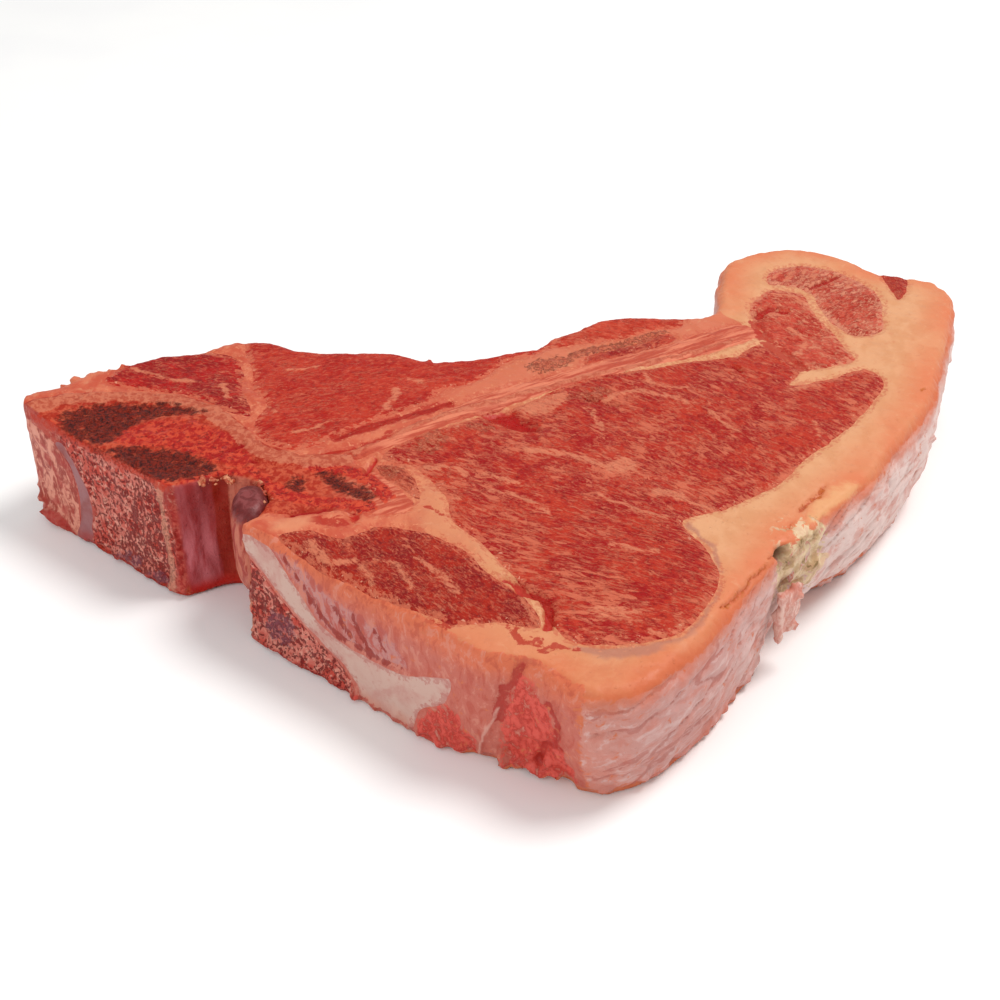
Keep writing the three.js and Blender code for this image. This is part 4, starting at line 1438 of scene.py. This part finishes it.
lean_materials = {
    "tenderloin": lean_material("tenderloin lean", tint(182, 46, 36), tint(200, 66, 50), 0.12, 3.0, 0.8),
    "side_muscle": lean_material("side lean", tint(158, 28, 18), tint(190, 42, 28), 0.28, 2.6, 0.8),
    "strip_loin": lean_material("strip lean", tint(170, 38, 28), tint(198, 64, 48), 0.86, 2.8, 0.95,
                                strength=0.8),
    "backbone_muscle": lean_material("backbone lean", tint(150, 32, 24), tint(180, 52, 40), 0.6, 2.4, 0.85),
    "small_muscle": lean_material("small lean", tint(150, 48, 36), tint(190, 84, 64), 0.7, 1.8),
    "flank_muscle": lean_material("flank lean", tint(184, 52, 38), tint(208, 78, 58), 0.35, 2.6),
    "bar_strip": lean_material("bar strip lean", tint(172, 44, 32), tint(198, 64, 48), 0.1, border=0.15),
    "back_strip": lean_material("back strip lean", tint(160, 42, 32), tint(198, 74, 56), 0.5, 2.4,
                                border=0.4),
    "tail_inner_muscle": lean_material("tail inner lean", tint(184, 52, 42), tint(212, 84, 66), 0.8, 1.8,
                                       1.1, tint(230, 146, 114)),
    "tail_outer_muscle": lean_material("tail outer lean", tint(180, 56, 44), tint(212, 92, 72), 0.9, 1.7,
                                       0.8, tint(232, 152, 122), 0.85),
    "tail_spot": lean_material("tail spot lean", tint(166, 44, 36), tint(194, 64, 50), 0.3, 2.0,
                               border=0.2),
}
print("lean", len(lean_materials))

# %% [markdown]
# Fat is firm and waxy: peach on the cut face, more orange towards the rim, and covered by
# a mauve skin outside. The fields add blood, cracks, the grey silverskin, red slivers of
# meat and the creamy mould in the hollow of the edge.

# %% Fat material
SAWN_TURN = 38.8


def fat_marks(sheet, colour, place, small):
    """Adds silverskin, slivers of meat, blood, chips of fat and dried crumbs to the cut face."""
    rough = sheet.noise(sheet.field("grain", vector=True), 1.2, 5.0, 0.72)
    seam = sheet.torn(sheet.step(sheet.mask("seam"), 0.3, 1.0, 0.0, 0.6), rough, 6.0)
    colour = sheet.blend(sheet.times(seam, 0.45), colour, tint(196, 76, 58))
    grey = sheet.add(sheet.mask("grey"), sheet.swing(small, 1.2))
    colour = sheet.shade(grey, 0.1, 0.9, colour, tint(186, 122, 104), 0.75)
    ochre = sheet.add(sheet.mask("ochre"), sheet.swing(small, 1.5))
    colour = sheet.shade(ochre, 0.1, 0.9, colour, tint(240, 186, 132), 0.6)
    colour = sheet.paint(colour, "lean", tint(184, 52, 40), small, 0.85)
    colour = sheet.paint(colour, "ember", tint(200, 76, 54), small, 0.8)
    chips = sheet.step(sheet.noise(place, 1.1, 3.0, 0.6), 0.6, 0.66)
    near_seam = sheet.step(sheet.mask("seam"), 0.0, 0.5, 0.1, 0.6)
    chips = sheet.times(chips, near_seam, sheet.step(sheet.axes(place)[0], 44.0, 20.0))
    colour = sheet.blend(chips, colour, tint(236, 150, 112))
    dry = sheet.noise(place, 0.8, 4.0, 0.75, 0.8)
    crumbs = sheet.shade(dry, 0.44, 0.58, tint(146, 50, 36), tint(208, 112, 82))
    dull = sheet.torn(sheet.times(sheet.mask("dull"), 0.9), rough)
    colour = sheet.blend(sheet.times(dull, 0.7), colour, crumbs)
    colour = sheet.paint(colour, "deep", tint(192, 30, 22), small, 0.85, 2.0)
    return sheet.blend(sheet.times(sheet.mask("gristle"), 0.8), colour, tint(232, 150, 112)), dull


def cut_fat_colour(sheet, place, base, rim, small):
    """The cut face of the fat: pink at the left, peach at the right, orange at the rim."""
    where = sheet.axes(place)
    broad = sheet.noise(place, 14.0, 3.0, 0.55)
    soft = sheet.noise(sheet.stretched(place, (1.0, 0.6, 1.0)), 5.0, 3.0, 0.55, 0.5)
    pink = sheet.shade(soft, 0.4, 0.62, tint(206, 92, 68), tint(224, 124, 92))
    warm = sheet.shade(soft, 0.4, 0.62, base, scaled(base, 0.93, 0.86, 0.8))
    across = sheet.add(where[0], sheet.times(broad, 30.0))
    colour = sheet.shade(across, 24.0, -24.0, warm, pink)
    rind = sheet.times(sheet.mask("rind"), sheet.step(broad, 0.3, 0.62, 0.5, 1.0))
    colour = sheet.blend(rind, colour, rim)
    colour = sheet.shade(small, 0.56, 0.74, colour, scaled(rim, 0.84, 0.62, 0.55), 0.35)
    colour = sheet.shade(small, 0.44, 0.3, colour, tint(240, 182, 140), 0.3)
    upright = sheet.add(where[2], sheet.times(small, 3.0))
    return sheet.shade(upright, 32.0, 29.4, colour, tint(211, 107, 72), 0.8)


def skin_colour(sheet, place, front_skin_and_painted_shade, right_skin_and_painted_light, small):
    """The outer skin of the edge fat: mauve, with pale sinews and rosy creases that are darker as painted
    shade. The front is painted darker as painted shade, the right lighter as painted light.
    """
    where = sheet.axes(place)
    # painted light and shade: the skin is lighter on the right, which faces the light, and darker on the
    # front
    skin = sheet.shade(where[0], 34.0, 66.0, front_skin_and_painted_shade, right_skin_and_painted_light)
    skin = sheet.shade(where[0], 30.0, 6.0, skin, tint(214, 136, 118), 0.75)
    flow = sheet.stretched(sheet.turned(place, -54.0), (0.3, 1.0, 1.0))
    veins = sheet.noise(flow, 2.6, 5.0, 0.62, 0.4)
    skin = sheet.shade(veins, 0.5, 0.64, skin, tint(208, 126, 110), 0.55)
    skin = sheet.shade(veins, 0.47, 0.36, skin, tint(228, 192, 186), 0.6)
    skin = sheet.shade(sheet.noise(place, 8.0, 3.0, 0.6), 0.5, 0.64, skin, tint(212, 132, 116), 0.5)
    # painted shade: the creases between the folds are rosier and darker than the skin, and darker still on
    # the front
    crease_with_painted_shade = sheet.shade(where[0], 34.0, 66.0, tint(182, 92, 78), tint(206, 142, 124))
    skin = sheet.paint(skin, "fold", crease_with_painted_shade, small, 0.5, 3.0)
    upright = sheet.add(where[2], sheet.times(small, 9.0))
    return sheet.shade(upright, 10.0, 5.0, skin, tint(212, 112, 90), 0.7), veins


def sawn_fat_colour(sheet, place, small):
    """The fat and gristle on the sawn face: lilac and streaky, orange above, raw below."""
    face = sheet.turned(place, SAWN_TURN)
    streaky = sheet.noise(sheet.stretched(face, (1.0, 1.0, 0.45)), 2.0, 5.0, 0.66, 0.6)
    fibrous = sheet.noise(sheet.stretched(face, (1.0, 1.0, 0.6)), 1.5, 5.0, 0.7, 0.4)
    upright = sheet.add(sheet.axes(place)[2], sheet.times(small, 6.0))
    colour = sheet.shade(upright, 25.0, 31.5, tint(202, 112, 98), tint(226, 118, 84))
    colour = sheet.shade(streaky, 0.5, 0.62, colour, tint(184, 72, 60), 0.5)
    colour = sheet.shade(streaky, 0.47, 0.38, colour, tint(226, 156, 138), 0.45)
    lilac = sheet.shade(streaky, 0.44, 0.6, tint(200, 146, 144), tint(188, 92, 84))
    raw = sheet.shade(fibrous, 0.42, 0.58, tint(188, 46, 42), tint(228, 92, 82))
    colour = sheet.paint(colour, "fascia", lilac, streaky, 0.85)
    colour = sheet.paint(colour, "raw", raw, fibrous, 0.95)
    colour = sheet.paint(colour, "streak", tint(146, 48, 46), streaky, 0.8)
    colour = sheet.paint(colour, "cleft", tint(172, 40, 34), fibrous, 0.8, 3.0)
    return sheet.shade(sheet.mask("membrane"), 0.55, 0.95, colour, tint(224, 172, 158), 0.75)


def mould_colour(sheet, place, small):
    """Creamy lumps of mould, rosy in places, with olive painted shade between them."""
    lumps = sheet.noise(place, 3.4, 4.0, 0.6, 0.4)
    mould = sheet.shade(lumps, 0.42, 0.56, tint(200, 162, 120), tint(236, 206, 166))
    mould = sheet.shade(small, 0.54, 0.64, mould, tint(222, 168, 140), 0.5)
    # painted shade: olive brown in the low places between the lumps, where shadow falls
    return sheet.shade(lumps, 0.4, 0.34, mould, tint(146, 116, 74))


def fat_material(name, base, rim, front_skin_and_painted_shade, right_skin_and_painted_light):
    material, sheet, shader = new_material(name)
    place = sheet.place()
    small = sheet.noise(place, 2.2, 5.0, 0.64, 0.4)
    colour = cut_fat_colour(sheet, place, base, rim, small)
    colour, dull = fat_marks(sheet, colour, place, small)
    skin, veins = skin_colour(sheet, place, front_skin_and_painted_shade, right_skin_and_painted_light, small)
    upright = sheet.add(sheet.axes(place)[2], sheet.times(small, 5.0))
    side = sheet.times(sheet.torn(sheet.mask("side"), small, 3.0), sheet.step(upright, 33.0, 26.0))
    colour = sheet.blend(side, colour, skin)
    colour = sheet.paint(colour, "sawn", sawn_fat_colour(sheet, place, small), small, 0.92, 3.0)
    rust = sheet.shade(small, 0.4, 0.6, tint(176, 66, 36), tint(206, 116, 62))
    crack = sheet.torn(sheet.times(sheet.mask("crack"), 0.8), small, 3.0)
    colour = sheet.blend(crack, colour, rust)
    wall = sheet.noise(sheet.stretched(place, (1.0, 1.0, 0.25)), 2.2, 4.0, 0.62, 0.4)
    canal = sheet.shade(wall, 0.4, 0.6, tint(176, 68, 60), tint(206, 118, 96))
    colour = sheet.blend(sheet.mask("canal"), colour, canal)
    colour = sheet.paint(colour, "mould", mould_colour(sheet, place, small), small)
    # painted shade: the small hole above the mould is coloured dark brown, as if in shadow
    colour = sheet.blend(sheet.mask("painted_dark_hole"), colour, tint(118, 78, 46))
    moist = sheet.use(MOIST, place=place, dry=0.54, wet=0.32)
    sinews = sheet.times(sheet.mask("side"), sheet.math("SUBTRACT", 1.0, veins), 1.6)
    height = sheet.add(
        sheet.times(small, 0.6), sheet.times(moist["Beads"], 0.25), sinews, sheet.times(dull, 0.8))
    dress(sheet, shader, colour, moist["Roughness"], height)
    return material


# the rim, then the front skin, painted darker as shade, then the right skin, painted lighter as light
OUTER_LOOKS_WITH_PAINTED_LIGHT = (tint(228, 130, 90), tint(212, 158, 150), tint(236, 206, 198))
fat_materials = {
    "fat_cap": fat_material("edge fat", tint(230, 168, 124), *OUTER_LOOKS_WITH_PAINTED_LIGHT),
    "tenderloin_fat": fat_material("seam fat", tint(218, 122, 92), *OUTER_LOOKS_WITH_PAINTED_LIGHT),
    "side_fat": fat_material("side fat", tint(204, 98, 74), *OUTER_LOOKS_WITH_PAINTED_LIGHT),
    "corner_fat": fat_material("corner fat", tint(200, 96, 72), *OUTER_LOOKS_WITH_PAINTED_LIGHT),
}
print("fat", len(fat_materials))

# %% [markdown]
# Bone shows three faces. The cut face has a pale rim, red bone and brown marrow. The sawn
# backbone is a sponge full of dark pores, with smears of blue-grey. The wall of the canal
# is smooth and purple.

# %% Bone material
BAR_TURN = -30.0
MARROW_TURN = -20.0
BONE_GLOSS = 0.2


def cut_bone_colour(sheet, place, small):
    """The top of the bone: lined along the bar, red and speckled round brown marrow."""
    lined = sheet.stretched(sheet.turned(place, BAR_TURN), (0.1, 1.0, 0.3))
    lines = sheet.noise(lined, 1.1, 3.0, 0.6, 0.2)
    bar = sheet.shade(lines, 0.4, 0.6, tint(196, 86, 66), tint(232, 136, 106))
    body = sheet.shade(small, 0.42, 0.58, tint(176, 54, 38), tint(208, 94, 68))
    colour = sheet.shade(sheet.axes(place)[0], -44.0, -26.0, body, bar)
    ember = sheet.shade(small, 0.43, 0.58, tint(176, 36, 26), tint(214, 82, 58))
    ember = sheet.shade(sheet.noise(place, 1.1, 2.0, 0.6), 0.58, 0.66, ember, tint(132, 26, 20), 0.8)
    colour = sheet.paint(colour, "ember", ember, small, tear=4.0)
    rim = sheet.shade(small, 0.42, 0.58, tint(190, 90, 68), tint(212, 122, 94))
    colour = sheet.paint(colour, "rim", rim, small, 0.9, 2.0)
    colour = sheet.paint(colour, "lean", tint(184, 48, 36), small, 0.85)
    marrow = sheet.shade(sheet.noise(place, 0.8, 5.0, 0.75), 0.42, 0.56, tint(76, 22, 10), tint(138, 50, 28))
    patchy = sheet.noise(sheet.stretched(sheet.turned(place, MARROW_TURN), (0.7, 1.0, 1.0)), 1.5, 5.0, 0.72)
    drawn = sheet.mask("marrow")
    strayed = sheet.add(drawn, sheet.swing(patchy, 4.0))
    brown = sheet.times(sheet.step(strayed, 0.1, 1.0, 0.0, 0.98), sheet.step(drawn, 0.02, 0.3))
    colour = sheet.blend(brown, colour, marrow)
    return sheet.paint(colour, "deep", tint(176, 24, 18), small, tear=2.0), brown


def sawn_bone_colour(sheet, place, small, holes):
    """The sawn backbone: a dark red sponge between thin pale walls."""
    broad = sheet.noise(place, 8.0, 3.0, 0.6)
    sponge = sheet.shade(broad, 0.44, 0.58, tint(214, 120, 106), tint(202, 82, 70))
    sponge = sheet.shade(small, 0.5, 0.6, sponge, tint(232, 160, 142), 0.8)
    sponge = sheet.blend(sheet.times(holes, 0.85), sponge, tint(124, 30, 30))
    wall = sheet.shade(broad, 0.44, 0.58, tint(194, 88, 76), tint(166, 58, 52))
    wall = sheet.shade(small, 0.5, 0.62, wall, tint(210, 138, 120), 0.7)
    colour = sheet.paint(wall, "spongy", sponge, small, tear=3.0)
    colour = sheet.paint(colour, "blue", tint(132, 84, 100), small, 0.5)
    cortex = sheet.add(sheet.mask("cortex"), sheet.swing(small, 1.0))
    colour = sheet.shade(cortex, 0.2, 0.8, colour, tint(218, 146, 122), 0.75)
    raw = sheet.shade(small, 0.44, 0.58, tint(162, 36, 32), tint(200, 86, 74))
    colour = sheet.paint(colour, "raw", raw, small, 0.85)
    return sheet.paint(colour, "ember", tint(196, 62, 44), small, 0.8)


def canal_colour(sheet, place):
    """The canal's wall: a purple panel, a dark band of painted shade and tan folds, darker above, red at the
    foot.
    """
    where = sheet.axes(place)
    wall = sheet.noise(sheet.stretched(place, (1.0, 1.0, 0.16)), 2.6, 3.0, 0.6, 0.5)
    across = sheet.add(where[0], sheet.times(wall, 3.0))
    colour = sheet.shade(wall, 0.38, 0.62, tint(176, 70, 74), tint(206, 112, 118))
    colour = sheet.shade(where[2], 10.0, 27.0, colour, tint(150, 54, 52), 0.6)
    colour = sheet.shade(across, -71.0, -72.0, colour, tint(206, 98, 84))
    # painted shade: a dark red band between the purple panel and the tan folds stands for the shadow there
    colour = sheet.shade(across, -64.6, -63.8, colour, tint(158, 48, 40))
    folds = sheet.shade(wall, 0.42, 0.58, tint(180, 78, 66), tint(216, 130, 108))
    colour = sheet.shade(across, -61.0, -60.0, colour, folds)
    return sheet.shade(where[2], 5.0, 1.5, colour, tint(196, 44, 36))


def bone_material():
    material, sheet, shader = new_material("sawn bone", BONE_GLOSS)
    place = sheet.place()
    small = sheet.noise(place, 1.5, 5.0, 0.68, 0.4)
    grit = sheet.use(PORES, place=place, size=0.7, depth=0.5)
    face = sheet.stretched(sheet.turned(place, SAWN_TURN), (1.0, 1.0, 0.75))
    openness = sheet.add(sheet.times(sheet.mask("porous"), 0.35), 0.42)
    pores = sheet.use(PORES, place=face, size=0.52, depth=openness)
    colour, brown = cut_bone_colour(sheet, place, small)
    sawn = sawn_bone_colour(sheet, place, small, pores["Pores"])
    colour = sheet.paint(colour, "sawn", sawn, small, tear=2.5)
    colour = sheet.blend(sheet.mask("canal"), colour, canal_colour(sheet, place))
    moist = sheet.use(MOIST, place=place, dry=0.55, wet=0.3)
    height = sheet.add(
        sheet.times(small, 0.9), sheet.times(sheet.mask("spongy"), pores["Height"], 1.5),
        sheet.times(brown, grit["Height"], 1.2), sheet.times(moist["Beads"], 0.4))
    dress(sheet, shader, colour, moist["Roughness"], height)
    return material


bone = bone_material()
print("bone material with", len(bone.node_tree.nodes), "nodes")

# %% [markdown]
# Gristle is smooth and nearly white, with a pink cast where blood has soaked in. The
# ligament beside the disc is a tan weave, and the nerve is a dense purple-grey cord.

# %% Gristle, ligament and nerve materials
def gristle_material(name, pale, pink, blood, foot):
    material, sheet, shader = new_material(name)
    place = sheet.place()
    broad = sheet.noise(place, 6.0, 3.0, 0.55, 0.5)
    small = sheet.noise(place, 1.3, 5.0, 0.66)
    colour = sheet.shade(broad, 0.44, 0.66, pale, pink)
    colour = sheet.shade(small, 0.55, 0.72, colour, blood, 0.35)
    upright = sheet.add(sheet.axes(place)[2], sheet.times(broad, 6.0))
    colour = sheet.shade(upright, 8.0, 3.5, colour, foot, 0.7)
    edge = sheet.torn(sheet.times(sheet.mask("band"), 0.8), small, 4.0)
    colour = sheet.blend(sheet.times(edge, 0.6), colour, blood)
    colour = sheet.paint(colour, "raw", tint(186, 66, 54), small, 0.7)
    moist = sheet.use(MOIST, place=place, dry=0.42, wet=0.26)
    dress(sheet, shader, colour, moist["Roughness"], small, 0.12)
    return material


def weave_material(name, dark, light, blood, size, wet, upright=0.5, foot=None):
    """Threads in two colours, with patches of blood. Only the nerve has foot colours."""
    material, sheet, shader = new_material(name)
    place = sheet.place()
    drawn = sheet.stretched(sheet.turned(place, SAWN_TURN), (1.0, 1.0, upright))
    threads = sheet.noise(drawn, size, 5.0, 0.66, 0.8)
    colour = sheet.shade(threads, 0.42, 0.58, dark, light)
    colour = sheet.shade(sheet.noise(place, 4.0, 3.0, 0.6), 0.5, 0.62, colour, blood, 0.7)
    if foot:
        level = sheet.add(sheet.axes(place)[2], sheet.times(threads, 8.0))
        colour = sheet.shade(level, 33.4, 31.4, colour, sheet.shade(threads, 0.44, 0.56, *foot))
    colour = sheet.paint(colour, "raw", tint(178, 50, 44), threads, 0.8)
    moist = sheet.use(MOIST, place=place, dry=0.5, wet=wet)
    dress(sheet, shader, colour, moist["Roughness"], threads)
    return material


spine_gristle = gristle_material(
    "spine gristle", tint(214, 176, 162), tint(206, 154, 142), tint(190, 112, 104), tint(212, 128, 104))
disc_gristle = gristle_material(
    "disc gristle", tint(164, 108, 110), tint(154, 82, 80), tint(158, 68, 62), tint(170, 60, 54))
ligament = weave_material(
    "ligament weave", tint(166, 66, 54), tint(228, 150, 128), tint(178, 62, 54), 1.9, 0.34)
nerve = weave_material(
    "nerve cord", tint(118, 52, 52), tint(144, 72, 72), tint(104, 36, 36), 2.4, 0.26, 0.3,
    (tint(168, 62, 52), tint(204, 116, 94)))
crumb_fat = weave_material(
    "crumb fat", tint(190, 82, 60), tint(232, 156, 118), tint(176, 48, 38), 0.9, 0.3)
shred_fat = weave_material(
    "shred fat", tint(220, 154, 140), tint(240, 196, 182), tint(216, 128, 108), 1.4, 0.34)
print("materials", len(bpy.data.materials))

# %% [markdown]
# Every piece rides on the steak's only body and stands in for its solid, which is hidden. The crumbs and the
# shred belong to the edge fat.

# %% Put the pieces in place
looks = {
    **lean_materials, **fat_materials, "t_bone": bone, "spine_cartilage": spine_gristle,
    "disc_cartilage": disc_gristle, "disc_ligament": ligament, "spinal_nerve": nerve,
    "canal_crumbs": crumb_fat, "side_shred": shred_fat,
}
slots = {row["node"]: row["material_slot"] for row in frame["record"]["subparts"]}
for name, mesh in meshes.items():
    node = name if name in slots else "fat_cap"
    piece = new_object(name + "_flesh", mesh)
    mesh.materials.clear()
    mesh.materials.append(looks[name])
    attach(piece, "root")
    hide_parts(node)
print("placed", len(meshes))

# %% [markdown]
# The steak lies on a plain pale floor. The light is soft and comes mostly from above and
# from the right, so the edge fat is bright and the sawn face a little darker. A white sky
# alone would be simpler, but then nothing would throw a shadow.

# %% Floor, light and camera
FLOOR_HALF = 3.0
CAMERA_PLACE = (-0.0042, -0.2830, 0.2076)
CAMERA_DOWN = 35.0
LENS = 54.0
SENSOR_WIDTH = 36.0
SKY_STRENGTH = 0.6


def floor_piece():
    corners = [(-FLOOR_HALF, -FLOOR_HALF, 0), (FLOOR_HALF, -FLOOR_HALF, 0),
               (FLOOR_HALF, FLOOR_HALF, 0), (-FLOOR_HALF, FLOOR_HALF, 0)]
    mesh = bpy.data.meshes.new("floor")
    mesh.from_pydata(corners, [], [(0, 1, 2, 3)])
    material, sheet, shader = new_material("pale floor")
    cloud = sheet.noise(sheet.place(), 60.0, 2.0)
    pale, paler = tint(249, 249, 249, 1.0, 0.0), tint(252, 252, 251, 1.0, 0.0)
    colour = sheet.shade(cloud, 0.3, 0.7, pale, paler)
    sheet.feed(shader.inputs["Base Color"], colour)
    sheet.feed(shader.inputs["Roughness"], sheet.step(cloud, 0.3, 0.7, 0.75, 0.85))
    mesh.materials.append(material)
    return new_object("floor", mesh)


def soft_light(name, place, aim, size, power, colour=(1.0, 1.0, 1.0)):
    light = bpy.data.lights.new(name, "AREA")
    light.shape = "DISK"
    light.size = size
    light.energy = power
    light.color = colour
    lamp = bpy.data.objects.new(name, light)
    bpy.context.scene.collection.objects.link(lamp)
    lamp.location = place
    away = np.array(place) - np.array(aim)
    lamp.rotation_euler = (math.atan2(math.hypot(away[0], away[1]), away[2]), 0.0,
                           math.atan2(away[1], away[0]) + math.pi / 2)
    return lamp


floor_piece()
for lamp in (
    soft_light("key", (0.45, 0.1, 0.95), (0, 0, 0), 0.4, 6.6, (1.0, 0.98, 0.96)),
    soft_light("fill", (-0.6, -0.7, 0.6), (0, 0, 0), 0.8, 3.0, (1.0, 1.0, 1.0)),
):
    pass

world = bpy.data.worlds.new("studio")
world.use_nodes = True
sky = world.node_tree.nodes["Background"]
sky.inputs["Color"].default_value = (1.0, 1.0, 1.0, 1.0)
sky.inputs["Strength"].default_value = SKY_STRENGTH
scene = bpy.context.scene
scene.world = world
scene.view_settings.view_transform = "Standard"

lens = bpy.data.cameras.new("camera")
lens.lens = LENS
lens.sensor_width = SENSOR_WIDTH
lens.clip_start = 0.01
lens.dof.use_dof = False
camera = bpy.data.objects.new("camera", lens)
scene.collection.objects.link(camera)
camera.location = CAMERA_PLACE
camera.rotation_euler = (math.radians(90 - CAMERA_DOWN), 0.0, 0.0)
scene.camera = camera
print("camera at", CAMERA_PLACE, "looking down by", CAMERA_DOWN, "degrees")
